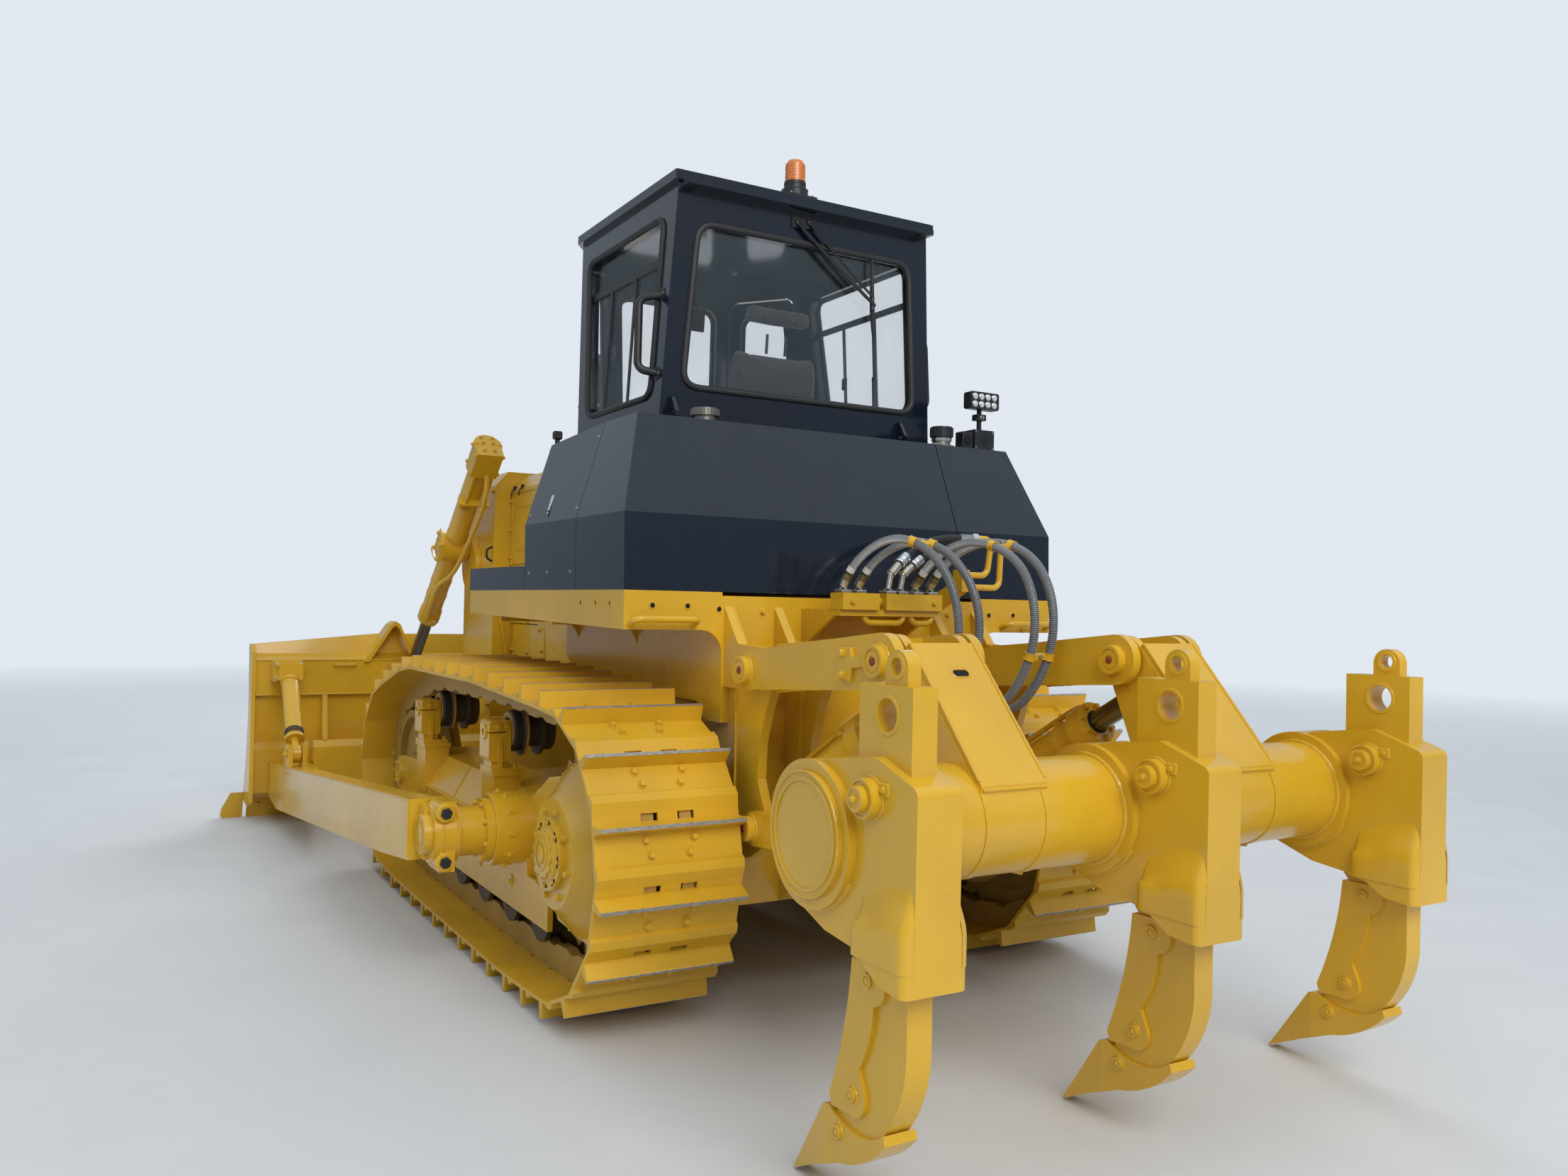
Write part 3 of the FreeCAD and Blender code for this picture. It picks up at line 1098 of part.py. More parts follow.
def point(y):
    """Shin guard and tip, both open at the back where the shank sits in them, with their pins' heads."""
    half = SHANK_T / 2.0
    out = half + 12.0
    socket = curve_xz(SHANK_START, SHANK, y - half, y + half)
    guard = curve_xz((-1738, 668), ((-1712, 500, -1644, 291), (-1655, 262), (-1735, 268),
                                    (-1802, 300, -1796, 345), (-1776, 392), (-1820, 480, -1838, 570),
                                    (-1884, 622, -1858, 672)), y - out, y + out)
    tip = curve_xz((-1432, 4), ((-1611, 250), (-1640, 260), (-1740, 226, -1888, 268), (-1896, 244),
                                (-1800, 166, -1700, 128), (-1580, 76)), y - out, y + out)
    for side in (1, -1):
        taper = xy([(-1620, y + side * out), (-1400, y + side * 22), (-1400, y + side * 80),
                    (-1620, y + side * 80)], -10.0, 270.0)
        tip = tip.cut(taper)
    solids = []
    for piece, places in ((guard, ((-1815, 630), (-1752, 322))), (tip, ((-1690, 205),))):
        heads = [cyl_y(x, z, 19.0, y - out - 7.0, y + out + 7.0) for x, z in places]
        solids += fuse([piece] + heads).cut(socket).Solids
    return solids


def ripper_points():
    solids = []
    for y in (-SHANK_PITCH, 0.0, SHANK_PITCH):
        solids += point(y)
    return Part.Compound(solids)


def ripper_axis():
    p, q = V(RIP_CYL_BASE[0], RIP_Y, RIP_CYL_BASE[1]), V(RIP_CYL_EYE[0], RIP_Y, RIP_CYL_EYE[1])
    return p, q, (q - p).normalize()


def rip_barrel():
    p, q, way = ripper_axis()
    tube = rod(p + way * 60.0, p + way * 700.0, 66.0)
    gland = rod(p + way * 660.0, p + way * 740.0, 84.0)
    eye = cyl_y(p.x, p.z, 66.0, RIP_Y - 55.0, RIP_Y + 55.0)
    neck = rod(p, p + way * 80.0, 50.0)
    bore = rod(p + way * 120.0, p + way * 760.0, 40.0 + RUN_FIT)
    pin = cyl_y(p.x, p.z, RIP_PIN_R + RUN_FIT, RIP_Y - 60.0, RIP_Y + 60.0)
    return fuse([tube, gland, eye, neck]).cut(bore).cut(pin)


def rip_rod():
    p, q, way = ripper_axis()
    stem = rod(p + way * 300.0, q - way * 30.0, 40.0)
    eye = cyl_y(q.x, q.z, 56.0, RIP_Y - 50.0, RIP_Y + 50.0)
    return fuse([stem, eye])


HOSE_R = 15.0
FITTING_R = 12.0
BLOCK_TOP = 1622.0
HOSES = (
    ("hose_left_outer",
     ((-440, 240, 1672), (-478, 226, 1748), (-590, 150, 1838), (-690, 75, 1815), (-785, 30, 1720),
      (-835, 5, 1580), (-840, 0, 1430), (-775, 15, 1310), (-640, 40, 1250), (-480, 60, 1276))),
    ("hose_left_inner",
     ((-440, 168, 1672), (-485, 150, 1748), (-600, 70, 1828), (-700, -10, 1808), (-795, -60, 1710),
      (-850, -85, 1570), (-850, -85, 1420), (-775, -50, 1300), (-630, -15, 1245), (-480, -10, 1276))),
    ("hose_right_inner",
     ((-440, -106, 1672), (-500, -120, 1756), (-640, -160, 1832), (-780, -205, 1818), (-920, -215, 1745),
      (-1005, -208, 1620), (-1020, -205, 1470), (-972, -198, 1335), (-885, -192, 1225), (-770, -185, 1182),
      (-640, -160, 1200), (-480, -130, 1276))),
    ("hose_right_outer",
     ((-440, -179, 1672), (-500, -195, 1756), (-640, -240, 1832), (-785, -295, 1824), (-930, -300, 1745),
      (-1015, -292, 1615), (-1030, -285, 1470), (-985, -277, 1335), (-890, -265, 1215), (-770, -255, 1172),
      (-640, -240, 1195), (-480, -225, 1276))),
    ("hose_top_left",
     ((-440, -8, 1738), (-425, -80, 1804), (-412, -240, 1864), (-430, -420, 1862))),
    ("hose_top_right",
     ((-440, -72, 1733), (-430, -140, 1784), (-400, -290, 1832), (-412, -440, 1840))),
)


def hose(points):
    """Hanging hose of straight runs and the widest smooth bends between them."""
    path = [V(*p) for p in points]
    edges = []
    start = path[0]
    for before, corner, after in zip(path, path[1:], path[2:]):
        back, ahead = before - corner, after - corner
        cut = 0.45 * min(back.Length, ahead.Length)
        back.normalize()
        ahead.normalize()
        half = back.getAngle(ahead) / 2.0
        bend = cut * math.tan(half)
        middle = corner + (back + ahead).normalize() * (bend / math.sin(half) - bend)
        edges.append(Part.makeLine(start, corner + back * cut))
        edges.append(Part.Arc(corner + back * cut, middle, corner + ahead * cut).toShape())
        start = corner + ahead * cut
    edges.append(Part.makeLine(start, path[-1]))
    ring = Part.Wire([Part.Circle(path[0], path[1] - path[0], HOSE_R).toShape()])
    return Part.Wire(edges).makePipeShell([ring], True, False)


def hose_fittings():
    """Elbows from the manifold's ports into the hoses, and the block their other ends run into."""
    solids = []
    for i, (_, points) in enumerate(HOSES):
        start, ahead = V(*points[0]), (V(*points[1]) - V(*points[0])).normalize()
        knee = start - ahead * (24.0 if i < 4 else 56.0)
        foot = V(knee.x, knee.y + (0.0 if i < 4 else 14.0), BLOCK_TOP + 12.0)
        nut = cyl_z(foot.x, foot.y, 22.0, BLOCK_TOP, BLOCK_TOP + 20.0)
        solids.append(fuse([rod(start, knee, FITTING_R + 6.0), Part.makeSphere(FITTING_R, knee),
                            rod(knee, foot, FITTING_R), nut]))
    ends = [box(-446.0, -390.0, -255.0, 90.0, 1250.0, 1304.0)]
    for _, points in HOSES[:4]:
        stop, behind = V(*points[-1]), V(*points[-2])
        ends.append(rod(stop, stop + (stop - behind).normalize() * 40.0, FITTING_R + 5.0))
    solids.append(fuse(ends))
    return Part.Compound(solids)


def hose_manifold():
    """Port blocks on their bracket, two guard loops, and the two pipes that the upper hoses run into."""
    low = BLOCK_TOP - 64.0
    parts = [box(-490.0, -400.0, 112.0, 283.0, low, BLOCK_TOP),
             box(-490.0, -400.0, -192.0, 80.0, low, BLOCK_TOP),
             rod(V(-445, 60, 1590), V(-445, 120, 1590), 17.0),
             box(-470.0, DECK_REAR, -190.0, 280.0, low - 24.0, low)]
    for y0, y1 in ((162.0, -29.0), (-62.0, -170.0)):
        loop = [V(-452, y0, low - 12), V(-452, y0, 1508), V(-452, y1, 1508), V(-452, y1, low - 12)]
        parts.append(bent(loop, 12.0, 34.0))
    for y in (-182.0, 264.0):
        gusset = [(DECK_REAR, 1420), (-230, 1425), (-430, low - 20), (DECK_REAR, low - 20)]
        parts.append(xz(gusset, y, y + 16.0))
    side = -327.0
    parts.append(box(-446.0, -386.0, side - 40.0, side, 1640.0, 1730.0))
    parts.append(xz([(DECK_REAR, 1520), (DECK_REAR, 1600), (-386, 1680), (-440, 1680), (-440, 1642)],
                    side - 38.0, side - 2.0))
    for (_, points), ahead, z in ((HOSES[4], 66.0, 1710.0), (HOSES[5], 112.0, 1660.0)):
        end, before = V(*points[-1]), V(*points[-2])
        knee = end + (end - before).normalize() * ahead
        parts.append(bent([end, knee, V(-416, knee.y + 4, z), V(-416, side - 30, z)], 13.0, 34.0))
    return fuse(parts)


def save(name, shape):
    moved = shape.copy()
    moved.translate(V(ROW_SHIFT, 0, 0))
    solids = moved.Solids
    if not solids:
        raise ValueError(name + " has no solid")
    for solid in solids:
        if not solid.isValid() or solid.Volume <= 0:
            raise ValueError(name + " has a bad solid")
    if len(solids) == 1:
        moved = solids[0]
    else:
        moved = Part.Compound(solids)
    moved.exportStep("parts/" + name + ".step")
    box_ = moved.BoundBox
    print("%-22s %d solids  X %.0f..%.0f  Y %.0f..%.0f  Z %.0f..%.0f" % (
        name, len(solids), box_.XMin, box_.XMax, box_.YMin, box_.YMax, box_.ZMin, box_.ZMax))


def build():
    os.makedirs("parts", exist_ok=True)
    pins = track_pins()
    sided = (
        ("track_shoes", track_shoes(pins)),
        ("track_frame", track_frame()),
        ("lift_barrel", lift_barrel()),
        ("lift_rod", lift_rod()),
        ("ripper_link", upper_link()),
        ("ripper_barrel", rip_barrel()),
        ("ripper_rod", rip_rod()),
        ("cab_door", door_panel()),
        ("door_glass", door_glass()),
    )
    for name, shape in sided:
        save(name + "_left", shape)
        save(name + "_right", mirrored(shape))
    paired = (
        ("track_chains", track_chain(pins)),
        ("sprockets_idlers", Part.Compound([sprocket(), idler()])),
        ("track_rollers", Part.Compound([side_rollers(), side_carriers()])),
        ("fenders", fender()),
        ("side_boxes", Part.Compound([side_panel(), low_box()])),
        ("push_arms", push_arm()),
        ("blade_braces", brace()),
    )
    for name, shape in paired:
        save(name, Part.Compound([shape, mirrored(shape)]))
    single = (
        ("main_frame", main_frame()),
        ("fuel_tank", fuel_tank()),
        ("hydraulic_tank", rear_box()),
        ("hood", hood()),
        ("engine_block", engine_block()),
        ("radiator_guard", radiator_guard()),
        ("grille", grille()),
        ("exhaust", exhaust()),
        ("pre_cleaner", pre_cleaner()),
        ("cab_shell", cab_shell()),
        ("cab_roof", cab_roof()),
        ("cab_glass", cab_glass()),
        ("seat_frame", seat()),
        ("seat_cushions", seat_cushions()),
        ("dash", dash()),
        ("grab_rails", grab_rails()),
        ("beacon_lens", beacon()),
        ("beacon_base", beacon_base()),
        ("work_lamp", work_lamp()),
        ("filler_caps", filler_caps()),
        ("blade", blade()),
        ("cutting_edge", cutting_edge()),
        ("ripper_towers", ripper_towers()),
        ("ripper_lower_frame", lower_frame()),
        ("ripper_beam", ripper_beam()),
        ("ripper_shanks", ripper_shanks()),
        ("ripper_points", ripper_points()),
        ("hose_manifold", hose_manifold()),
        ("hose_fittings", hose_fittings()),
    )
    for name, shape in single:
        save(name, shape)
    for name, points in HOSES:
        save(name, hose(points))


build()
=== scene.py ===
import math

import bmesh
import bpy
from mathutils import Matrix, Vector, noise


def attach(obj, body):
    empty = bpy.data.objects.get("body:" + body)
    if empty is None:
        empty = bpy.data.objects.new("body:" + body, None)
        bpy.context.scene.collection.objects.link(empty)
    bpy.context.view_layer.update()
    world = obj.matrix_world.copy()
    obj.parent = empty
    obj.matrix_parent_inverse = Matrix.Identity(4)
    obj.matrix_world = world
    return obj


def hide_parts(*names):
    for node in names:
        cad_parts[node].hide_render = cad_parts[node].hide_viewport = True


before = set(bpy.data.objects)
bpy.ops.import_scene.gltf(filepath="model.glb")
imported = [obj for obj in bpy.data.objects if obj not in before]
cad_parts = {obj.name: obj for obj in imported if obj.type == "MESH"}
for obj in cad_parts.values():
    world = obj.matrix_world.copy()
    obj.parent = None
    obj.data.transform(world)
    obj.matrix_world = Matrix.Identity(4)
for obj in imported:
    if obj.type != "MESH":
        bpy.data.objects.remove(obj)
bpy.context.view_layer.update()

# Row frame in metres: +X to the blade, +Y to the left, ground at Z = 0.
# Details are written in millimetres in the left sprocket's frame, as in part.py, and at() moves them.
ROW_SHIFT = -1.470


def at(x, y, z):
    return Vector((x / 1000.0 + ROW_SHIFT, y / 1000.0, z / 1000.0))


def photo_camera():
    """The camera solved from the photograph."""
    yaw, pitch, roll = math.radians(30.64), math.radians(0.90), math.radians(1.16)
    ahead = Vector((math.cos(yaw) * math.cos(pitch), -math.sin(yaw) * math.cos(pitch), math.sin(pitch)))
    right = Vector((-math.sin(yaw), -math.cos(yaw), 0.0))
    up = right.cross(ahead)
    right_rolled = right * math.cos(roll) + up * math.sin(roll)
    up_rolled = up * math.cos(roll) - right * math.sin(roll)
    data = bpy.data.cameras.new("photo_camera")
    data.sensor_width = 36.0
    data.lens = 27.59
    camera = bpy.data.objects.new("photo_camera", data)
    axes = Matrix((right_rolled, up_rolled, -ahead)).transposed()
    camera.matrix_world = Matrix.Translation((-5.775, 2.805, 1.563)) @ axes.to_4x4()
    bpy.context.scene.collection.objects.link(camera)
    bpy.context.scene.camera = camera


photo_camera()


# Materials

class Nodes:
    """Short way to build one material's node tree."""

    def __init__(self, name):
        self.material = bpy.data.materials.new(name)
        self.material.use_nodes = True
        self.tree = self.material.node_tree
        self.shader = self.tree.nodes["Principled BSDF"]

    def add(self, kind, **inputs):
        node = self.tree.nodes.new(kind)
        for key, value in inputs.items():
            if key in node.inputs:
                node.inputs[key].default_value = value
            else:
                setattr(node, key, value)
        return node

    def link(self, output, target):
        self.tree.links.new(output, target)

    def coords(self, kind="Object", scale=None):
        out = self.add("ShaderNodeTexCoord").outputs[kind]
        if scale is None:
            return out
        mapping = self.add("ShaderNodeMapping")
        mapping.inputs["Scale"].default_value = scale
        self.link(out, mapping.inputs["Vector"])
        return mapping.outputs["Vector"]

    def noise(self, coords, scale, detail=4.0, rough=0.55):
        node = self.add("ShaderNodeTexNoise", Scale=scale, Detail=detail, Roughness=rough)
        self.link(coords, node.inputs["Vector"])
        return node.outputs["Fac"]

    def wave(self, coords, scale, direction, distortion=0.0):
        node = self.add("ShaderNodeTexWave", wave_type="BANDS", bands_direction=direction, Scale=scale,
                        Distortion=distortion)
        self.link(coords, node.inputs["Vector"])
        return node.outputs["Fac"]

    def ramp(self, value, *stops):
        """Grey ramp from (place, level) stops."""
        node = self.add("ShaderNodeValToRGB")
        band = node.color_ramp
        while len(band.elements) < len(stops):
            band.elements.new(0.5)
        for element, (place, level) in zip(band.elements, stops):
            element.position = place
            element.color = (level, level, level, 1.0)
        self.link(value, node.inputs["Fac"])
        return node.outputs["Color"]

    def mix(self, factor, first, second):
        node = self.add("ShaderNodeMix", data_type="RGBA")
        for value, socket in ((factor, node.inputs["Factor"]), (first, node.inputs[6]), (second, node.inputs[7])):
            if isinstance(value, bpy.types.NodeSocket):
                self.link(value, socket)
            elif isinstance(value, float):
                socket.default_value = value
            else:
                socket.default_value = (*value, 1.0)
        return node.outputs[2]

    def maths(self, operation, *values):
        node = self.add("ShaderNodeMath", operation=operation)
        for value, socket in zip(values, node.inputs):
            if isinstance(value, bpy.types.NodeSocket):
                self.link(value, socket)
            else:
                socket.default_value = value
        return node.outputs[0]

    def geometry(self, output):
        return self.add("ShaderNodeNewGeometry").outputs[output]

    def facing_up(self):
        split = self.add("ShaderNodeSeparateXYZ")
        self.link(self.geometry("Normal"), split.inputs[0])
        return split.outputs["Z"]

    def height(self):
        split = self.add("ShaderNodeSeparateXYZ")
        self.link(self.geometry("Position"), split.inputs[0])
        return split.outputs["Z"]

    def away(self, reach=40.0):
        """Distance from the middle of the scene, 1 at the reach."""
        node = self.add("ShaderNodeVectorMath", operation="LENGTH")
        self.link(self.geometry("Position"), node.inputs[0])
        return self.maths("DIVIDE", node.outputs["Value"], reach)

    def over(self, factor, shader):
        """Lay another shader over the surface by a factor."""
        blend = self.add("ShaderNodeMixShader")
        self.link(factor, blend.inputs[0])
        self.link(self.shader.outputs[0], blend.inputs[1])
        self.link(shader, blend.inputs[2])
        self.link(blend.outputs[0], self.tree.nodes["Material Output"].inputs["Surface"])

    def bump(self, height, strength, distance):
        node = self.add("ShaderNodeBump", Strength=strength, Distance=distance)
        self.link(height, node.inputs["Height"])
        self.link(node.outputs["Normal"], self.shader.inputs["Normal"])

    def surface(self, **values):
        for key, value in values.items():
            socket = self.shader.inputs[key.replace("_", " ")]
            if isinstance(value, bpy.types.NodeSocket):
                self.link(value, socket)
            elif isinstance(value, tuple):
                socket.default_value = (*value, 1.0)
            else:
                socket.default_value = value


def scaled(colour, factor):
    return tuple(min(1.0, c * factor) for c in colour)


def painted(name, colour, rough, dust, dust_colour, peel=0.0004, coat=0.0, low_darkening=0.0):
    """Sprayed paint: mottling, dust on what faces up, darker in blotches towards the bottom, orange peel."""
    m = Nodes(name)
    coords = m.coords()
    broad = m.noise(coords, 1.3, 3.0)
    fine = m.noise(coords, 9.0, 6.0, 0.65)
    base = m.mix(m.ramp(broad, (0.35, 0.0), (0.65, 1.0)), scaled(colour, 0.88), scaled(colour, 1.07))
    speckle = m.ramp(fine, (0.48, 0.0), (0.75, 1.0))
    up = m.ramp(m.facing_up(), (0.05, 0.25), (0.85, 1.0))
    amount = m.maths("MULTIPLY", m.maths("MULTIPLY", speckle, up), dust)
    shade = m.mix(amount, base, dust_colour)
    # Darker in blotches towards the bottom: a darker copy of the paint is mixed in over the lowest metre.
    if low_darkening:
        low = m.ramp(m.height(), (0.0, 1.0), (1.0, 0.0))
        blotch = m.ramp(m.noise(coords, 4.0, 7.0, 0.7), (0.45, 0.0), (0.7, 1.0))
        shade = m.mix(m.maths("MULTIPLY", m.maths("MULTIPLY", low, blotch), low_darkening), shade, scaled(colour, 0.45))
    m.surface(Base_Color=shade, Metallic=0.0, Coat_Weight=coat, Coat_Roughness=0.08,
              Roughness=m.maths("ADD", m.maths("MULTIPLY", fine, 0.10), rough - 0.05))
    m.bump(m.noise(coords, 260.0, 2.0), 0.25, peel)
    return m.material


def bare_metal(name, colour, rough, grain, metallic=1.0, stain=0.55):
    """Worn, plated or machined metal with a brushed grain."""
    m = Nodes(name)
    lines = m.noise(m.coords(scale=grain), 30.0, 5.0, 0.7)
    spots = m.noise(m.coords(), 6.0, 5.0, 0.6)
    m.surface(Base_Color=m.mix(m.ramp(spots, (0.42, 0.0), (0.72, 0.8)), colour, scaled(colour, stain)),
              Roughness=m.maths("ADD", m.maths("MULTIPLY", lines, 0.2), rough - 0.1), Metallic=metallic)
    m.bump(lines, 0.15, 0.0004)
    return m.material


def plastic(name, colour, rough, pebble=900.0):
    m = Nodes(name)
    wash = m.noise(m.coords(), 5.0, 4.0)
    m.surface(Base_Color=m.mix(wash, scaled(colour, 0.8), scaled(colour, 1.25)),
              Roughness=m.maths("ADD", m.maths("MULTIPLY", wash, 0.2), rough - 0.1))
    m.bump(m.noise(m.coords(), pebble, 2.0), 0.35, 0.0004)
    return m.material


def window_glass(name):
    """Thin tinted pane: a faint mirror over what is behind it, with wiped smears in its gloss."""
    m = Nodes(name)
    smear = m.noise(m.coords(), 3.5, 5.0, 0.6)
    m.surface(Base_Color=m.mix(smear, (0.50, 0.58, 0.60), (0.64, 0.72, 0.74)), Alpha=0.09, Metallic=0.9,
              Roughness=m.maths("ADD", m.maths("MULTIPLY", smear, 0.05), 0.01))
    return m.material


def lens(name, colour, alpha, ribs):
    """Moulded lens with fine upright ribs."""
    m = Nodes(name)
    rib = m.wave(m.coords(), ribs, "X")
    m.surface(Base_Color=m.mix(rib, scaled(colour, 0.75), colour), Alpha=alpha, IOR=1.5,
              Roughness=m.maths("ADD", m.maths("MULTIPLY", rib, 0.06), 0.08), Specular_IOR_Level=0.8)
    m.bump(rib, 0.4, 0.001)
    return m.material


def woven(name, colour, cell):
    """Seat cloth: two crossed bands for the weave, lighter where it stands up as a painted highlight."""
    m = Nodes(name)
    weave = m.maths("MULTIPLY", m.wave(m.coords(), cell, "X", 0.6), m.wave(m.coords(), cell, "Z", 0.6))
    shade = m.mix(m.noise(m.coords(), 7.0, 4.0), scaled(colour, 0.7), scaled(colour, 1.4))
    # The raised crossings get a lighter copy of the cloth colour: painted highlight.
    m.surface(Base_Color=m.mix(weave, shade, scaled(colour, 2.2)), Roughness=0.85, Sheen_Weight=0.3)
    m.bump(weave, 0.5, 0.0012)
    return m.material


def braided(name, bright, dark):
    """Steel wire braid: two diagonal bands over the sleeve's own unrolled coordinates, with painted shade in the gaps
    between the strands.
    """
    m = Nodes(name)
    strands = []
    for lean in (1.0, -1.0):
        mapping = m.add("ShaderNodeMapping")
        mapping.inputs["Rotation"].default_value = (0.0, 0.0, lean * math.radians(42.0))
        m.link(m.coords("UV"), mapping.inputs["Vector"])
        strands.append(m.wave(mapping.outputs["Vector"], 4.2, "X", 0.4))
    cross = m.maths("MAXIMUM", *strands)
    patch = m.noise(m.coords(), 60.0, 4.0)
    # Between the strands the braid takes its dark colour: painted shade in the gaps.
    m.surface(Base_Color=m.mix(m.ramp(cross, (0.35, 0.0), (0.85, 1.0)), dark, m.mix(patch, bright, scaled(bright, 0.7))),
              Roughness=0.34, Metallic=0.75)
    m.bump(cross, 0.7, 0.0012)
    return m.material


def worn_edge(name, paint, metal):
    """Paint that is ragged at a strip's borders and gone from its middle; V of the UV runs across it."""
    m = Nodes(name)
    split = m.add("ShaderNodeSeparateXYZ")
    m.link(m.coords("UV"), split.inputs[0])
    middle = m.maths("ABSOLUTE", m.maths("SUBTRACT", split.outputs["Y"], 0.5))
    bite = m.maths("MULTIPLY", m.noise(m.coords(scale=(1.0, 2.5, 1.0)), 34.0, 6.0, 0.7), 0.55)
    bare = m.ramp(m.maths("ADD", middle, bite), (0.54, 1.0), (0.60, 0.0))
    streak = m.noise(m.coords(scale=(6.0, 1.0, 6.0)), 45.0, 5.0, 0.7)
    m.surface(Base_Color=m.mix(bare, paint, m.mix(m.ramp(streak, (0.35, 0.0), (0.65, 1.0)), scaled(metal, 0.4), metal)),
              Metallic=m.maths("MULTIPLY", bare, 0.45), Roughness=0.48)
    m.bump(streak, 0.3, 0.0006)
    return m.material


def mesh_screen(name, colour, cell):
    """Punched sheet: rows of round holes drawn as near-black painted shade, over object coordinates in YZ."""
    m = Nodes(name)
    holes = m.maths("MULTIPLY", m.wave(m.coords(), cell, "Y"), m.wave(m.coords(), cell, "Z"))
    m.surface(Base_Color=m.mix(m.ramp(holes, (0.25, 1.0), (0.4, 0.0)), colour, (0.003, 0.003, 0.003)), Roughness=0.5)
    m.bump(holes, 0.8, 0.002)
    return m.material


YELLOW = (0.71, 0.412, 0.020)
BLACK = (0.0060, 0.0105, 0.0220)
DUST = (0.52, 0.43, 0.27)
GREY_DUST = (0.16, 0.16, 0.16)

MATERIALS = {
    "yellow": painted("paint_yellow", YELLOW, 0.27, 0.05, DUST, coat=0.30),
    # The track, chain and roller paints get darker in blotches towards the bottom.
    "track_yellow": painted("paint_track", scaled(YELLOW, 0.97), 0.36, 0.12, DUST, low_darkening=0.3),
    "chain_yellow": painted("paint_chain", (0.46, 0.29, 0.055), 0.50, 0.55, (0.30, 0.22, 0.12), low_darkening=0.6),
    "black": painted("paint_black", BLACK, 0.16, 0.04, GREY_DUST, 0.0002, coat=0.35),
    "satin": painted("paint_black_satin", (0.014, 0.015, 0.018), 0.42, 0.10, GREY_DUST),
    "roller": painted("roller_dark", (0.060, 0.043, 0.028), 0.50, 0.5, (0.26, 0.19, 0.10), low_darkening=0.5),
    "zinc": bare_metal("zinc_plate", (0.62, 0.60, 0.52), 0.30, (1.0, 1.0, 4.0), stain=0.6),
    "olive": bare_metal("plated_olive", (0.30, 0.27, 0.17), 0.34, (1.0, 1.0, 4.0)),
    "steel": bare_metal("steel_worn", (0.33, 0.31, 0.28), 0.42, (1.0, 6.0, 1.0)),
    "rod": bare_metal("chrome_rod", (0.20, 0.20, 0.22), 0.22, (1.0, 1.0, 1.0), stain=0.8),
    "chrome": bare_metal("chrome_bright", (0.78, 0.79, 0.80), 0.12, (1.0, 1.0, 1.0), stain=0.8),
    "wrap": plastic("wrap_grey", (0.27, 0.28, 0.30), 0.34, 300.0),
    # The braid's darker colour is painted shade between its strands.
    "braid": braided("hose_braid", (0.62, 0.64, 0.66), (0.10, 0.11, 0.12)),
    "band": plastic("band_white", (0.62, 0.62, 0.60), 0.5),
    "plastic": plastic("plastic_black", (0.016, 0.016, 0.018), 0.50),
    # Near-black painted shade for holes, slots, recesses and the gaps round panels.
    "painted_shade": plastic("painted_shade_black", (0.004, 0.004, 0.004), 0.9),
    "rubber": plastic("rubber_black", (0.020, 0.020, 0.022), 0.55, 500.0),
    "hose": plastic("hose_rubber", (0.016, 0.016, 0.018), 0.40, 500.0),
    "glass": window_glass("window_glass"),
    "amber": lens("amber_lens", (0.80, 0.22, 0.03), 0.92, 60.0),
    "clear": lens("lamp_lens", (0.72, 0.74, 0.75), 1.0, 90.0),
    "red": plastic("plug_red", (0.25, 0.03, 0.01), 0.5),
    "cloth": woven("seat_cloth", (0.020, 0.020, 0.024), 260.0),
    "worn": worn_edge("grouser_worn", scaled(YELLOW, 0.95), (0.50, 0.47, 0.42)),
    "screen": mesh_screen("screen_black", (0.018, 0.018, 0.019), 60.0),
}

NODE_LOOKS = {
    "black": ("fuel_tank", "hydraulic_tank", "side_boxes", "cab_shell", "cab_roof", "cab_door_left", "cab_door_right"),
    "satin": ("exhaust", "pre_cleaner", "grille", "engine_block", "grab_rails", "beacon_base", "work_lamp"),
    "track_yellow": ("track_shoes_left", "track_shoes_right"),
    "chain_yellow": ("track_chains", "sprockets_idlers"),
    "roller": ("track_rollers",),
    "zinc": ("hose_fittings",),
    "steel": ("filler_caps",),
    "rod": ("lift_rod_left", "lift_rod_right", "ripper_rod_left", "ripper_rod_right"),
    "plastic": ("seat_frame", "dash"),
    "glass": ("cab_glass", "door_glass_left", "door_glass_right"),
    "amber": ("beacon_lens",),
    "cloth": ("seat_cushions",),
    "hose": ("hose_left_outer", "hose_left_inner", "hose_right_inner", "hose_right_outer", "hose_top_left",
             "hose_top_right"),
}


def dress(piece, *looks):
    if len(piece.data.materials):
        piece.data.materials.clear()
    for look in looks:
        piece.data.materials.append(MATERIALS[look])


LOOK_OF = {node: look for look, nodes in NODE_LOOKS.items() for node in nodes}
for node_name, node_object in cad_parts.items():
    dress(node_object, LOOK_OF.get(node_name, "yellow"))


# Mesh tools

def eased(points, steps=6):
    """Smooth line from the first point to the last that rounds each corner between them."""
    points = [Vector(p) for p in points]
    line = [points[0]]
    last = len(points) - 2
    for i in range(1, last + 1):
        start = points[0] if i == 1 else (points[i - 1] + points[i]) / 2.0
        end = points[-1] if i == last else (points[i] + points[i + 1]) / 2.0
        for k in range(1, steps + 1):
            t = k / steps
            line.append(start * (1 - t) ** 2 + points[i] * 2 * t * (1 - t) + end * t ** 2)
    return line


def inset(outline, amount):
    middle = sum(outline, Vector()) / len(outline)
    return [p + (middle - p).normalized() * amount for p in outline]


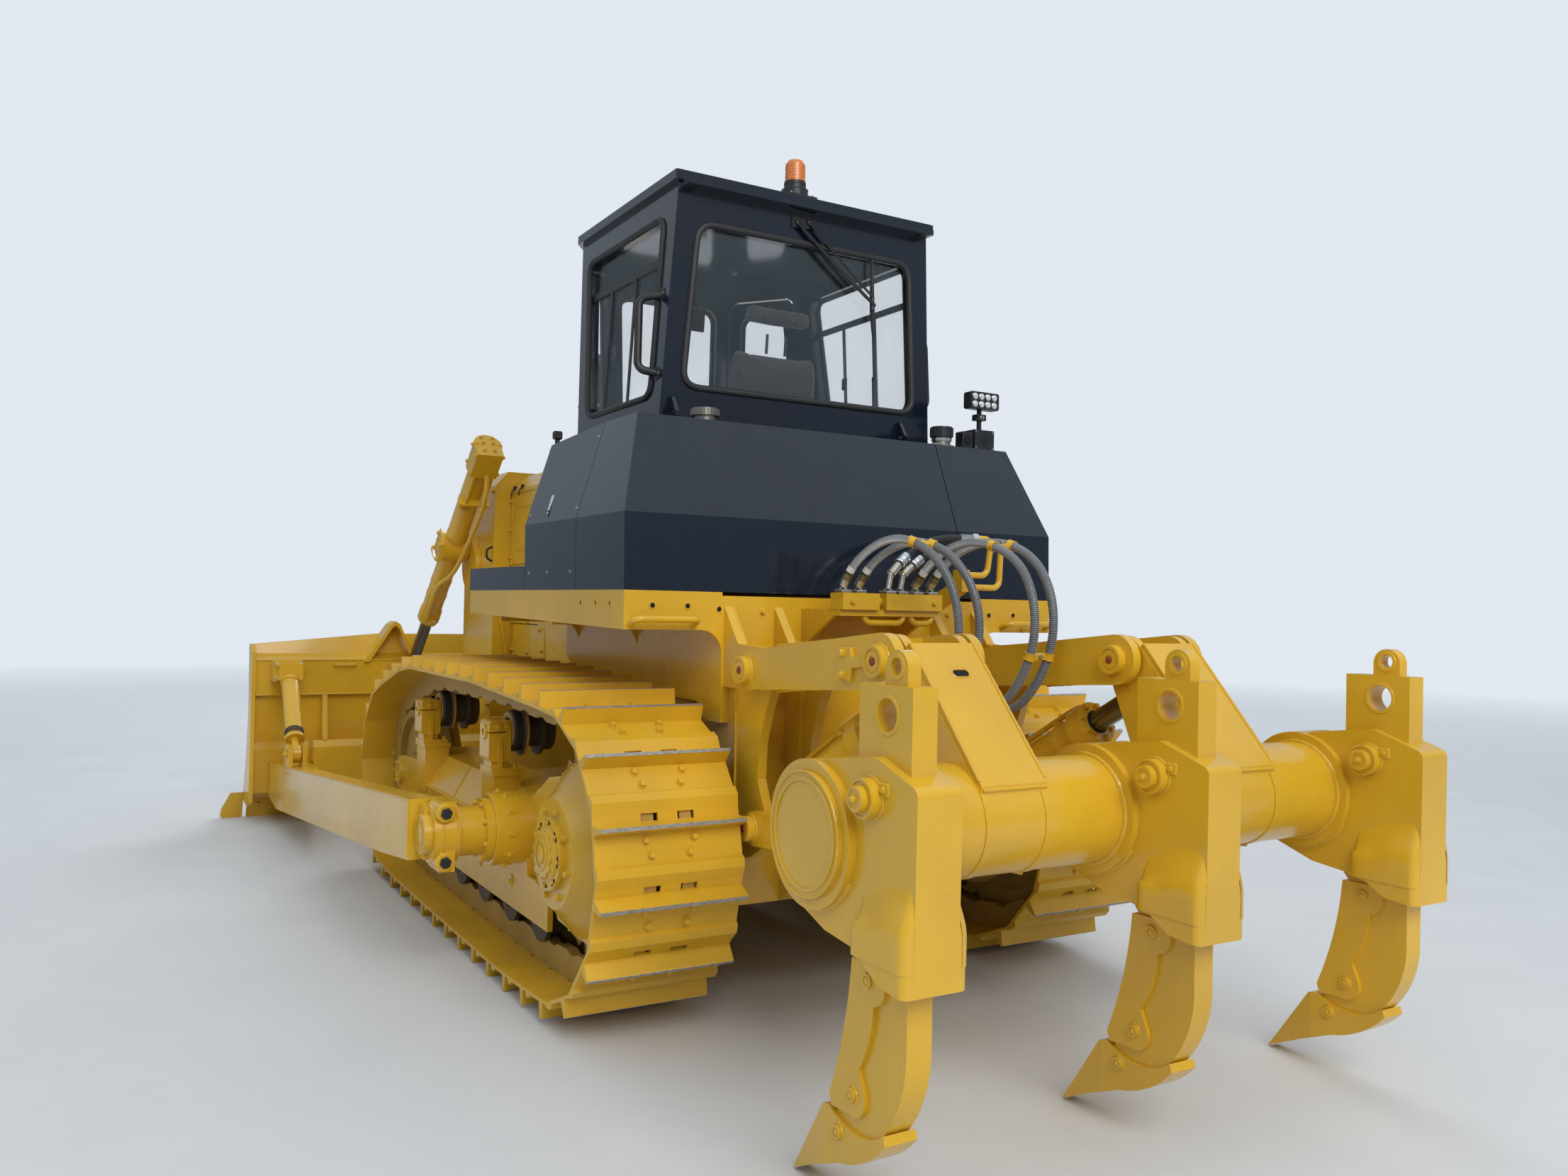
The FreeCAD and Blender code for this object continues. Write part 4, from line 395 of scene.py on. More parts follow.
class Piece:
    """Collects the faces of one piece, given in millimetres in the sprocket's frame."""

    def __init__(self, name, body, *looks, side=1):
        self.name, self.body, self.looks, self.side = name, body, looks, side
        self.mesh = bmesh.new()
        self.uv = self.mesh.loops.layers.uv.new("UVMap")

    def point(self, p):
        return self.mesh.verts.new(at(p[0], p[1] * self.side, p[2]))

    def loft(self, rings, look=0, caps=True, around=True):
        """Skin between rings of equally many points. UV: U round the ring, V from the first to the last."""
        rows = [[self.point(p) for p in ring] for ring in rings]
        count = len(rows[0])
        steps = [0.0]
        for low, high in zip(rows, rows[1:]):
            steps.append(steps[-1] + (high[0].co - low[0].co).length)
        girth = 0.0 if not around else sum((a.co - b.co).length for a, b in zip(rows[0], rows[0][1:]))
        for r, (low, high) in enumerate(zip(rows, rows[1:])):
            for i in range(count if around else count - 1):
                j = (i + 1) % count
                face = self.mesh.faces.new((low[i], low[j], high[j], high[i]))
                face.material_index = look
                spread = ((i, r), (i + 1, r), (i + 1, r + 1), (i, r + 1))
                for loop, (u, v) in zip(face.loops, spread):
                    if around:
                        loop[self.uv].uv = (u / count * girth * 100.0, steps[v] * 100.0)
                    else:
                        loop[self.uv].uv = (steps[v] * 100.0, u / (count - 1))
        if caps:
            for row in (rows[0], rows[-1][::-1]):
                self.mesh.faces.new(row).material_index = look

    def lathe(self, place, axis, profile, look=0, sides=24, closed=False):
        """Rings of (distance along the axis, radius)."""
        ahead = Vector(axis).normalized()
        across = ahead.orthogonal().normalized()
        over = ahead.cross(across)
        rings = []
        for along, r in list(profile) + ([profile[0]] if closed else []):
            middle = Vector(place) + ahead * along
            turns = [2.0 * math.pi * i / sides for i in range(sides)]
            rings.append([middle + (across * math.cos(a) + over * math.sin(a)) * r for a in turns])
        self.loft(rings, look, caps=not closed)

    def ring(self, place, axis, outer, inner, low, high, look=0, sides=32):
        chamfer = min(1.5, (high - low) * 0.3)
        self.lathe(place, axis, [(low, inner), (low, outer), (high - chamfer, outer), (high, outer - chamfer),
                                 (high, inner)], look, sides, closed=True)

    def bolt(self, place, axis, size=22.0, look=0, washer=True):
        """Hexagon head on a washer; size is across the flats."""
        base = 0.0
        if washer:
            base = 3.0
            self.lathe(place, axis, [(-1.0, size * 0.76), (2.2, size * 0.76), (base, size * 0.72)], look, 16)
        r = size * 0.577
        self.lathe(place, axis, [(base - 1.0, r), (base + size * 0.5, r), (base + size * 0.62, r * 0.86)], look, 6)

    def screw(self, place, axis, r=7.0, height=7.0, look=0, dark=0):
        """Round head with a hexagon socket; the socket is a thin hexagon in its own look, painted shade for the recess.
        """
        self.lathe(place, axis, [(-1.0, r), (height - 1.0, r), (height, r - 1.0)], look, 14)
        self.lathe(place, axis, [(height - 0.5, r * 0.5), (height + 0.2, r * 0.5)], dark, 6)

    def slab(self, outline, push, look=0, chamfer=1.5):
        """Flat plate with a chamfered outer rim."""
        outline, push = [Vector(p) for p in outline], Vector(push)
        edge = push * (1.0 - chamfer / max(push.length, chamfer * 1.5))
        top = [p + push for p in inset(outline, chamfer)]
        self.loft([outline, [p + edge for p in outline], top], look)

    def block(self, low, high, look=0, chamfer=3.0):
        """Box with all its edges chamfered."""
        (x0, y0, z0), (x1, y1, z1) = low, high
        c = min(chamfer, (x1 - x0) * 0.3, (y1 - y0) * 0.3, (z1 - z0) * 0.3)

        def outline(z, k):
            return [Vector((x, y, z)) for x, y in ((x0 + k, y0 + c), (x0 + c, y0 + k), (x1 - c, y0 + k), (x1 - k, y0 + c),
                                                   (x1 - k, y1 - c), (x1 - c, y1 - k), (x0 + c, y1 - k), (x0 + k, y1 - c))]
        self.loft([outline(z0, c * 0.7), outline(z0 + c, 0.0), outline(z1 - c, 0.0), outline(z1, c * 0.7)], look)

    def tube(self, points, r, look=0, sides=12, closed=False, flat=1.0):
        """Swept round bar; r may be one radius or one for each point, and flat squeezes it across."""
        points = [Vector(p) for p in points]
        count = len(points)
        side = None
        rings = []
        for i, p in enumerate(points):
            before = points[(i - 1) % count] if closed else points[max(i - 1, 0)]
            after = points[(i + 1) % count] if closed else points[min(i + 1, count - 1)]
            ahead = (after - before).normalized()
            side = (ahead.orthogonal() if side is None else side - ahead * side.dot(ahead)).normalized()
            over = ahead.cross(side)
            radius = r[i] if isinstance(r, (list, tuple)) else r
            turns = [2.0 * math.pi * k / sides for k in range(sides)]
            rings.append([p + side * math.cos(a) * radius + over * math.sin(a) * radius * flat for a in turns])
        if closed:
            rings.append(rings[0])
        self.loft(rings, look, caps=not closed)

    def done(self):
        bmesh.ops.remove_doubles(self.mesh, verts=self.mesh.verts, dist=1e-6)
        bmesh.ops.recalc_face_normals(self.mesh, faces=self.mesh.faces)
        for edge in self.mesh.edges:
            edge.smooth = len(edge.link_faces) == 2 and edge.calc_face_angle(0.0) < 0.6
        for face in self.mesh.faces:
            face.smooth = True
        data = bpy.data.meshes.new(self.name)
        self.mesh.to_mesh(data)
        self.mesh.free()
        return self.placed(bpy.data.objects.new(self.name, data))

    def placed(self, piece):
        bpy.context.scene.collection.objects.link(piece)
        dress(piece, *self.looks)
        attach(piece, self.body)
        return piece


# Cords: the six ripper hoses, on part.py's own points

HOSE_ROUTES = {
    "hose_left_outer":
        ((-1.910, 0.240, 1.672), (-1.948, 0.226, 1.748), (-2.060, 0.150, 1.838), (-2.160, 0.075, 1.815),
         (-2.255, 0.030, 1.720), (-2.305, 0.005, 1.580), (-2.310, 0.000, 1.430), (-2.245, 0.015, 1.310),
         (-2.110, 0.040, 1.250), (-1.950, 0.060, 1.276)),
    "hose_left_inner":
        ((-1.910, 0.168, 1.672), (-1.955, 0.150, 1.748), (-2.070, 0.070, 1.828), (-2.170, -0.010, 1.808),
         (-2.265, -0.060, 1.710), (-2.320, -0.085, 1.570), (-2.320, -0.085, 1.420), (-2.245, -0.050, 1.300),
         (-2.100, -0.015, 1.245), (-1.950, -0.010, 1.276)),
    "hose_right_inner":
        ((-1.910, -0.106, 1.672), (-1.970, -0.120, 1.756), (-2.110, -0.160, 1.832), (-2.250, -0.205, 1.818),
         (-2.390, -0.215, 1.745), (-2.475, -0.208, 1.620), (-2.490, -0.205, 1.470), (-2.442, -0.198, 1.335),
         (-2.355, -0.192, 1.225), (-2.240, -0.185, 1.182), (-2.110, -0.160, 1.200), (-1.950, -0.130, 1.276)),
    "hose_right_outer":
        ((-1.910, -0.179, 1.672), (-1.970, -0.195, 1.756), (-2.110, -0.240, 1.832), (-2.255, -0.295, 1.824),
         (-2.400, -0.300, 1.745), (-2.485, -0.292, 1.615), (-2.500, -0.285, 1.470), (-2.455, -0.277, 1.335),
         (-2.360, -0.265, 1.215), (-2.240, -0.255, 1.172), (-2.110, -0.240, 1.195), (-1.950, -0.225, 1.276)),
    "hose_top_left":
        ((-1.910, -0.008, 1.738), (-1.895, -0.080, 1.804), (-1.882, -0.240, 1.864), (-1.900, -0.420, 1.862)),
    "hose_top_right":
        ((-1.910, -0.072, 1.733), (-1.900, -0.140, 1.784), (-1.870, -0.290, 1.832), (-1.882, -0.440, 1.840)),
}
HOSE_LENGTHS = {"hose_left_outer": 1.236, "hose_left_inner": 1.254, "hose_right_inner": 1.569,
                "hose_right_outer": 1.600, "hose_top_left": 0.445, "hose_top_right": 0.393}
HOSE_R = 0.015


def hose_curve(name):
    data = bpy.data.curves.new(name + "_cord", "CURVE")
    data.dimensions = "3D"
    data.bevel_depth = HOSE_R
    data.bevel_resolution = 5
    data.resolution_u = 16
    spline = data.splines.new("NURBS")
    route = HOSE_ROUTES[name]
    spline.points.add(len(route) - 1)
    for point, place in zip(spline.points, route):
        point.co = (*place, 1.0)
    spline.order_u = 3
    spline.use_endpoint_u = True
    spline.use_smooth = True
    return bpy.data.objects.new(name + "_cord", data)


def line_of(curve, step=0.002):
    """Points along a cord's own NURBS line in millimetres of the sprocket's frame, evenly spaced."""
    bare = curve.data.copy()
    bare.bevel_depth = 0.0
    bare.resolution_u = 48
    holder = bpy.data.objects.new("line", bare)
    mesh = bpy.data.meshes.new_from_object(holder)
    raw = [vertex.co.copy() for vertex in mesh.vertices]
    bpy.data.objects.remove(holder)
    bpy.data.meshes.remove(mesh)
    bpy.data.curves.remove(bare)
    even, left = [raw[0]], step
    for a, b in zip(raw, raw[1:]):
        gap = (b - a).length
        while gap > left:
            a = a + (b - a).normalized() * left
            even.append(a)
            gap = (b - a).length
            left = step
        left -= gap
    return [Vector(((p.x - ROW_SHIFT) * 1000.0, p.y * 1000.0, p.z * 1000.0)) for p in even]


def run(line, start, end, every=4):
    """Part of a line between two distances along it, in millimetres."""
    low, high = int(start / 2), min(int(end / 2), len(line) - 1)
    return line[low:high:every] + [line[high]]


def wound(piece, line, start, end, r, pitch, width, thick, look=0):
    """Flat strip wound round the line."""
    path = run(line, start, end, 1)
    side, distance, rings = None, 0.0, []
    for i in range(len(path) - 1):
        ahead = (path[i + 1] - path[i]).normalized()
        side = (ahead.orthogonal() if side is None else side - ahead * side.dot(ahead)).normalized()
        over = ahead.cross(side)
        steps = 4
        for k in range(steps):
            along = path[i] + (path[i + 1] - path[i]) * (k / steps)
            turn = 2.0 * math.pi * (distance + 2.0 * k / steps) / pitch
            out = side * math.cos(turn) + over * math.sin(turn)
            half = ahead * width / 2.0
            rings.append([along + out * (r - 0.3) - half, along + out * (r + thick) - half * 0.7,
                          along + out * (r + thick) + half * 0.7, along + out * (r - 0.3) + half])
        distance += 2.0
    piece.loft(rings, look)


def clamp(piece, line, place, look=0, reach=13.0):
    """Moulded clamp half round a hose, with a raised rim at both ends."""
    path = run(line, place - reach, place + reach, 1)
    piece.tube(path, 20.5, look, 20)
    for end in (path[:3], path[-3:]):
        piece.tube(end, 22.0, look, 20)


def strap(piece, a, b, bolt_axis, width=24.0):
    """Bar that joins two clamps, with its bolt."""
    across = (b - a).normalized()
    up = Vector(bolt_axis).normalized()
    along = across.cross(up).normalized() * width / 2.0
    thick = up * 7.0
    a, b = a + across * 14.0, b - across * 14.0
    piece.slab([a - along - thick, b - along - thick, b + along - thick, a + along - thick], thick * 2.0)
    piece.bolt((a + b) / 2.0 + thick, up, 13.0, 1)


def hoses():
    lines = {}
    on_hose = {name: [] for name in HOSE_ROUTES}
    curves = {}
    for name in HOSE_ROUTES:
        curves[name] = hose_curve(name)
        lines[name] = line_of(curves[name])
    for name, cuff in (("hose_left_outer", 337), ("hose_left_inner", 343), ("hose_right_inner", 409),
                       ("hose_right_outer", 420)):
        line, end = lines[name], HOSE_LENGTHS[name] * 1000.0
        dressing = Piece(name + "_sleeve", "chassis", "braid", "olive", "rubber", "band")
        dressing.tube(run(line, 0, 30, 2), [18.4, 18.4, 17.0, 19.2, 19.2, 17.6, 17.6, 19.4][:8] + [19.4] * 20, 1, 20)
        dressing.tube(run(line, 30, 36, 1), 17.6, 2, 20)
        dressing.tube(run(line, 36, 58, 2), 17.0, 3, 20)
        dressing.tube(run(line, 56, cuff, 4), 16.2, 0, 20)
        dressing.tube(run(line, end - 34, end - 2, 2), 18.0, 1, 20)
        on_hose[name].append(dressing.done())
        winding = Piece(name + "_wrap", "chassis", "wrap")
        wound(winding, line, cuff - 4, end - 30, 15.0, 6.6, 4.2, 1.9)
        on_hose[name].append(winding.done())
    for name in ("hose_top_left", "hose_top_right"):
        line, end = lines[name], HOSE_LENGTHS[name] * 1000.0
        collar = Piece(name + "_collars", "chassis", "chrome", "rubber", "braid")
        collar.tube(run(line, 0, 10, 1), 19.0, 1, 24)
        collar.tube(run(line, 8, 58, 2), [20.0] + [22.5] * 4 + [21.0] + [22.5] * 30, 0, 24)
        collar.tube(run(line, end - 90, end - 26, 4), 16.4, 2, 20)
        collar.tube(run(line, end - 28, end - 2, 2), 20.0, 0, 6)
        on_hose[name].append(collar.done())
    pairs = (("left", "hose_left_outer", 337, "hose_left_inner", 343, (0.3, -0.3, 1)),
             ("right", "hose_right_inner", 409, "hose_right_outer", 420, (-0.2, 0.2, 1)),
             ("lower", "hose_right_inner", 932, "hose_right_outer", 946, (-1, 0, -0.2)))
    for label, first, a, second, b, up in pairs:
        holders = Piece("hose_clamps_" + label, "chassis", "yellow", "zinc")
        clamp(holders, lines[first], a)
        clamp(holders, lines[second], b)
        strap(holders, lines[first][a // 2], lines[second][b // 2], up)
        on_hose[first].append(holders.done())
    for name, curve in curves.items():
        bpy.context.scene.collection.objects.link(curve)
        dress(curve, "hose")
        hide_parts(name)
        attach(curve, "chassis")


hoses()


# Seat cushions, puffed by a cloth simulation

def pad(name, outline, half, cap, channels, pull):
    """Crowned cushion from its side outline in XZ, its half width, and the places of its sewn channels in Y."""
    piece = Piece(name, "chassis", "cloth", "plastic")
    middle = sum((Vector((x, 0, z)) for x, z in outline), Vector()) / len(outline)
    sides = [Vector((x, 0, z)) for x, z in outline]
    smaller = [p + (middle - p).normalized() * 12.0 for p in sides]
    rounded = eased(smaller + [smaller[0], smaller[1]], 3)[3:-3]
    rings = []
    for y, shrink in ((-half, 16.0), (-half + 8.0, 6.0), (-half + 22.0, 0.0), (half - 22.0, 0.0), (half - 8.0, 6.0),
                      (half, 16.0)):
        rings.append([p + (middle - p).normalized() * shrink + Vector((0, y, 0)) for p in rounded])
    piece.loft(rings)
    cushion = piece.done()
    bpy.context.view_layer.objects.active = cushion
    for other in bpy.context.selected_objects:
        other.select_set(False)
    cushion.select_set(True)
    remesh = cushion.modifiers.new("even", "REMESH")
    remesh.mode = "VOXEL"
    remesh.voxel_size = 0.010
    bpy.ops.object.modifier_apply(modifier="even")
    before = [vertex.co.copy() for vertex in cushion.data.vertices]
    cloth = cushion.modifiers.new("cloth", "CLOTH")
    cloth.settings.use_pressure = True
    cloth.settings.uniform_pressure_force = 4.0
    cloth.settings.effector_weights.gravity = 0.0
    for step in range(1, 21):
        bpy.context.scene.frame_set(step)
    bpy.ops.object.modifier_apply(modifier="cloth")
    bpy.context.scene.frame_set(1)
    for vertex, start in zip(cushion.data.vertices, before):
        move = vertex.co - start
        if move.length > cap:
            vertex.co = start + move.normalized() * cap
    for vertex in cushion.data.vertices:
        y = vertex.co.y * 1000.0
        sunk = sum(math.exp(-((y - line) / 5.0) ** 2) for line in channels)
        wrinkle = noise.noise(vertex.co * 14.0) * 0.0016
        vertex.co += vertex.normal * (wrinkle - pull * min(sunk, 1.0))
    cushion.modifiers.new("smooth", "SUBSURF").levels = 1
    bpy.ops.object.modifier_apply(modifier="smooth")
    cushion.data.shade_smooth()
    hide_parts("seat_cushions")
    return cushion


def seat_pads():
    pad("seat_squab", ((652, 2128), (1082, 2128), (1088, 2226), (652, 2226)), 212.0, 0.012, (-120, 0, 120), 0.005)
    pad("seat_back", ((566, 2250), (676, 2250), (612, 2760), (512, 2760)), 222.0, 0.012, (-130, 130), 0.005)
    pad("seat_headrest", ((512, 2800), (594, 2800), (576, 2964), (492, 2964)), 162.0, 0.010, (), 0.004)
    trim = Piece("seat_posts", "chassis", "satin", "plastic")
    for y in (-50.0, 50.0):
        trim.tube([(552, y, 2740), (544, y, 2830)], 7.0, 0, 12)
        trim.lathe((496, y * 1.7, 2890), (-1, 0, -0.15), [(-6, 11), (1.5, 11), (3.0, 9)], 1, 16)
    seam = [(640, -216, 2180), (1084, -216, 2180), (1092, -206, 2180), (1092, 206, 2180), (1084, 216, 2180), (640, 216, 2180)]
    trim.tube(seam, 3.0, 1, 8)
    trim.done()


seat_pads()


# Tracks and track frames; everything here is written for the left side and mirrored for the right

GAUGE = 1000.0
ARM_PIVOT = (600.0, 620.0)
CARRIER_X = (995.0, 2184.0)


def track_links():
    """Start, direction and outward normal of each link, as part.py places the pins."""
    wheels = [(0.0, 625.0, 468.0), (995.0, 980.0, 160.0), (2184.0, 980.0, 160.0), (2730.0, 579.0, 420.0),
              (2370.0, 278.0, 144.0), (460.0, 278.0, 144.0)]
    normals = []
    for (x1, z1, r1), (x2, z2, r2) in zip(wheels, wheels[1:] + wheels[:1]):
        dist = math.hypot(x2 - x1, z2 - z1)
        ux, uz, s = (x2 - x1) / dist, (z2 - z1) / dist, (r1 - r2) / dist
        k = math.sqrt(1.0 - s * s)
        normals.append(math.atan2(uz * s + ux * k, ux * s - uz * k))
    path = []
    for i, (x, z, r) in enumerate(wheels):
        sweep = (normals[i - 1] - normals[i]) % (2.0 * math.pi)
        for step in range(41):
            angle = normals[i - 1] - sweep * step / 40.0
            path.append(Vector((x + r * math.cos(angle), 0.0, z + r * math.sin(angle))))
    path.append(path[0])
    total = sum((b - a).length for a, b in zip(path, path[1:]))
    pins = []
    for i in range(38):
        want = (52.0 + total * i / 38) % total
        for a, b in zip(path, path[1:]):
            step = (b - a).length
            if want <= step:
                pins.append(a + (b - a) * (want / max(step, 1e-9)))
                break
            want -= step
    links = []
    for a, b in zip(pins, pins[1:] + pins[:1]):
        ahead = (b - a).normalized()
        links.append((a, ahead, Vector((-ahead.z, 0.0, ahead.x))))
    return links


def track(side, label):
    bolts = Piece("shoe_bolts_" + label, "chassis", "track_yellow", side=side)
    edges = Piece("grouser_wear_" + label, "chassis", "worn", side=side)
    for start, ahead, out in track_links():
        for u, y in ((122.0, 92.0), (122.0, -92.0), (71.0, 73.0), (71.0, -73.0)):
            bolts.bolt(start + ahead * u + out * 74.0 + Vector((0, GAUGE + y, 0)), out, 22.0)
        tip = start + ahead * 162.0 + out * 134.0
        if tip.z < 40.0:
            continue
        profile = ((155.3, 128.0), (155.4, 134.4), (162.0, 134.5), (168.6, 134.4), (170.3, 128.0))
        rings = []
        for i in range(15):
            y = GAUGE - 279.8 + 559.6 * i / 14
            rings.append([start + ahead * u + out * v + Vector((0, y, 0)) for u, v in profile])
        edges.loft(rings, caps=False, around=False)
    bolts.done()
    edges.done()


def rollers(side, label):
    trim = Piece("roller_trim_" + label, "chassis", "roller", "rubber", "chain_yellow", side=side)
    out = Vector((0, 1, 0))
    for x in CARRIER_X:
        for place, direction in ((GAUGE + 98.0, out), (GAUGE - 98.0, -out)):
            hub = Vector((x, place, 980.0))
            trim.ring(hub, direction, 86.0, 62.0, -2.0, 3.0, 2)
            trim.ring(hub, direction, 60.0, 50.0, -2.0, 4.0, 1)
        trim.ring((x, GAUGE + 70.0, 980.0), out, 93.6, 90.0, -15.0, 15.0, 1)
        trim.ring((x, GAUGE + 39.0, 980.0), out, 112.8, 110.0, -6.0, 6.0, 2)
    for x in (460.0, 842.0, 1224.0, 1606.0, 1988.0, 2370.0):
        trim.ring((x, GAUGE + 138.0, 278.0), out, 44.0, 30.0, -1.0, 3.0, 0)
        for angle in range(0, 360, 90):
            a = math.radians(angle + 45)
            trim.bolt((x + 34.0 * math.cos(a), GAUGE + 138.0, 278.0 + 34.0 * math.sin(a)), out, 11.0)
    trim.done()


def carrier_bolts(side, label):
    piece = Piece("carrier_bolts_" + label, "chassis", "yellow", "red", side=side)
    for x in CARRIER_X:
        for y in (1161.0, 1084.0 + 42.0):
            piece.bolt((x - 70.0, y, 1004.0), (-1, 0, 0), 22.0)
            piece.bolt((x + 70.0, y, 1004.0), (1, 0, 0), 22.0)
        for dx, y in ((-68.0, 1150.0), (68.0, 1150.0), (-68.0, 1084.0), (68.0, 1084.0)):
            piece.bolt((x + dx, y, 824.0), (0, 0, 1), 17.0)
        piece.ring((x, 1208.0, 980.0), (0, 1, 0), 30.0, 17.0, -1.0, 2.5)
        piece.lathe((x, 1178.0, 980.0), (0, 1, 0), [(-4.0, 15.0), (3.0, 15.0), (5.0, 9.0)], 1, 16)
    piece.done()


def arm_joint(side, label):
    """Cap of the push arm's ball joint, on the arm, and its flange on the track frame."""
    px, pz = ARM_PIVOT
    out = Vector((0, 1, 0))
    cap = Piece("arm_cap_" + label, "blade", "yellow", "satin", side=side)
    cap.ring((px, 1575.0, pz), out, 79.0, 70.0, -1.0, 3.0)
    cap.ring((px, 1575.0, pz), out, 60.0, 52.0, -1.0, 3.0)
    cap.lathe((px, 1575.0, pz), out, [(-1.0, 44.0), (3.0, 44.0), (5.0, 40.0)], 0, 32)
    for z in (716.0, 522.0):
        cap.lathe((480.0, 1505.0, z), (1, 0, 0), [(0, 34.0), (3.0, 38.0), (150.0, 38.0), (153.0, 35.0)], 0, 28)
        cap.ring((480.0, 1505.0, z), (-1, 0, 0), 33.0, 25.0, -1.0, 2.0)
        cap.lathe((480.0, 1505.0, z), (-1, 0, 0), [(-2.0, 23.0), (11.0, 23.0), (14.0, 20.0)], 1, 6)
    band = [(px + math.cos(a) * 119.0, 0.0, pz + math.sin(a) * 119.0) for a in
            [math.radians(d) for d in range(90, 271, 12)]]
    for y in (1452.0, 1512.0):
        cap.tube([(x, y, z) for x, _, z in band], 5.0, 0, 8)
    cap.done()
    flange = Piece("arm_flange_" + label, "chassis", "yellow", side=side)
    for angle in (110, 145, 180, 215, 250, 290, 325, 0, 35, 70):
        a = math.radians(angle)
        radial = Vector((math.cos(a), 0, math.sin(a)))
        along = Vector((-math.sin(a), 0, math.cos(a)))
        middle = Vector((px, 1240.0, pz)) + radial * 149.0
        outline = [middle + out * (26.0 * math.cos(t)) + along * (13.0 * math.sin(t)) for t in
                   [2 * math.pi * k / 14 for k in range(14)]]
        flange.slab(outline, radial * 5.0, 0, 2.0)
        flange.bolt(middle + out * 6.0 + radial * 5.0, radial, 15.0, 0, washer=False)
    flange.ring((px, 1300.0, pz), out, 148.0, 132.0, -1.0, 5.0)
    for angle in range(0, 360, 45):
        a = math.radians(angle + 20)
        flange.bolt((px + 115.0 * math.cos(a), 1338.0, pz + 115.0 * math.sin(a)), out, 15.0)
    flange.done()


def frame_trim(side, label):
    out = Vector((0, 1, 0))
    trim = Piece("frame_trim_" + label, "chassis", "yellow", "painted_shade", side=side)
    trim.block((1120.0, 1150.0, 581.0), (2080.0, 1184.0, 597.0))
    trim.block((300.0, 1125.0, 600.0), (480.0, 1148.0, 616.0))
    trim.block((760.0, 1150.0, 581.0), (905.0, 1184.0, 597.0))
    for x, z in ((816.0, 545.0), (350.0, 560.0), (1250.0, 520.0), (1820.0, 520.0)):
        trim.block((x - 16.0, 1140.0 if x < 500 else 1160.0, z - 34.0), (x + 16.0, 1184.0, z + 34.0), 0, 4.0)
        trim.bolt((x, 1184.0, z - 14.0), out, 15.0)
    for x in (700.0, 1150.0, 1620.0, 2050.0):
        trim.block((x - 10.0, 1158.0, 350.0), (x + 10.0, 1166.0, 400.0), 0, 2.0)
        trim.bolt((x, 1161.0, 372.0), out, 18.0)
    lap = [(1600.0, 1171.0, 596.0), (1660.0, 1066.0, 737.0)]
    trim.tube(lap, 4.0, 0, 6)
    # Thin dark line beside the lap: painted shade under its edge.
    trim.tube([(x + 8.0, y, z) for x, y, z in lap], 2.0, 1, 6)
    for x in (2350.0, 2440.0):
        trim.block((x - 34.0, 905.0, 688.0), (x + 34.0, 1100.0, 716.0), 0, 5.0)
        for y in (930.0, 1075.0):
            trim.bolt((x, y, 716.0), (0, 0, 1), 20.0)
    trim.block((2250.0, 1160.0, 500.0), (2330.0, 1172.0, 680.0), 0, 4.0)
    for z in (530.0, 590.0, 650.0):
        trim.bolt((2290.0, 1172.0, z), out, 18.0)
    idler = Vector((2730.0, 1175.0, 579.0))
    trim.ring(idler, out, 66.0, 48.0, -1.0, 4.0)
    for angle in range(0, 360, 60):
        a = math.radians(angle)
        trim.bolt(idler + Vector((57.0 * math.cos(a), 3.0, 57.0 * math.sin(a))), out, 12.0)
    trim.done()


def final_drive(side, label):
    """Bolted cover, slotted ring and serrated nut of the final drive."""
    out = Vector((0, 1, 0))
    hub = Vector((0, 1236.0, 625.0))
    piece = Piece("final_drive_" + label, "chassis", "yellow", "painted_shade", side=side)
    for k in range(18):
        a = 2 * math.pi * k / 18
        piece.bolt(Vector((308.0 * math.cos(a), 1130.0, 625.0 + 308.0 * math.sin(a))), out, 20.0)
    for k in range(8):
        a = 2 * math.pi * (k + 0.35) / 8
        piece.bolt(hub + Vector((168.0 * math.cos(a), 0, 168.0 * math.sin(a))), out, 22.0)
    piece.ring(hub, out, 136.0, 102.0, -1.0, 24.0)
    for k in range(8):
        a = 2 * math.pi * (k + 0.1) / 8
        radial = Vector((math.cos(a), 0, math.sin(a)))
        along = Vector((-math.sin(a), 0, math.cos(a)))
        middle = hub + radial * 119.0 + out * 24.0
        outline = [middle + along * (24.0 * math.cos(t)) + radial * (8.0 * math.sin(t)) for t in
                   [2 * math.pi * j / 14 for j in range(14)]]
        # Each slot in the ring is a dark slab: painted shade in the slot.
        piece.slab(outline, out * 1.2, 1, 0.5)
        piece.bolt(middle, out, 15.0, 0, washer=False)
    teeth = []
    for k in range(48):
        a = 2 * math.pi * k / 48
        r = 90.0 if k % 4 < 2 else 82.0
        teeth.append(Vector((r * math.cos(a), 1261.0, 625.0 + r * math.sin(a))))
    piece.slab(teeth, out * 20.0, 0, 3.0)
    piece.ring((0, 1281.0, 625.0), out, 60.0, 48.0, -1.0, 4.0)
    piece.lathe((0, 1280.0, 625.0), out, [(-1.0, 34.0), (6.0, 34.0), (10.0, 26.0)], 0, 28)
    piece.done()


for track_side, track_label in ((1, "left"), (-1, "right")):
    track(track_side, track_label)
    rollers(track_side, track_label)
    carrier_bolts(track_side, track_label)
    arm_joint(track_side, track_label)
    frame_trim(track_side, track_label)
    final_drive(track_side, track_label)


# Cab

def loop_of(corners, cut):
    """Closed line through the corners, each rounded from cut before it to cut after it."""
    corners = [Vector(c) for c in corners]
    line = []
    for i, corner in enumerate(corners):
        before = corner + (corners[i - 1] - corner).normalized() * cut
        after = corner + (corners[(i + 1) % len(corners)] - corner).normalized() * cut
        for k in range(9):
            t = k / 8
            line.append(before * (1 - t) ** 2 + corner * 2 * t * (1 - t) + after * t ** 2)
    return line


def cab_x(z):
    """The rear wall's place at a height."""
    return 316.0 - 47.0 * (z - 1730.0) / 1620.0


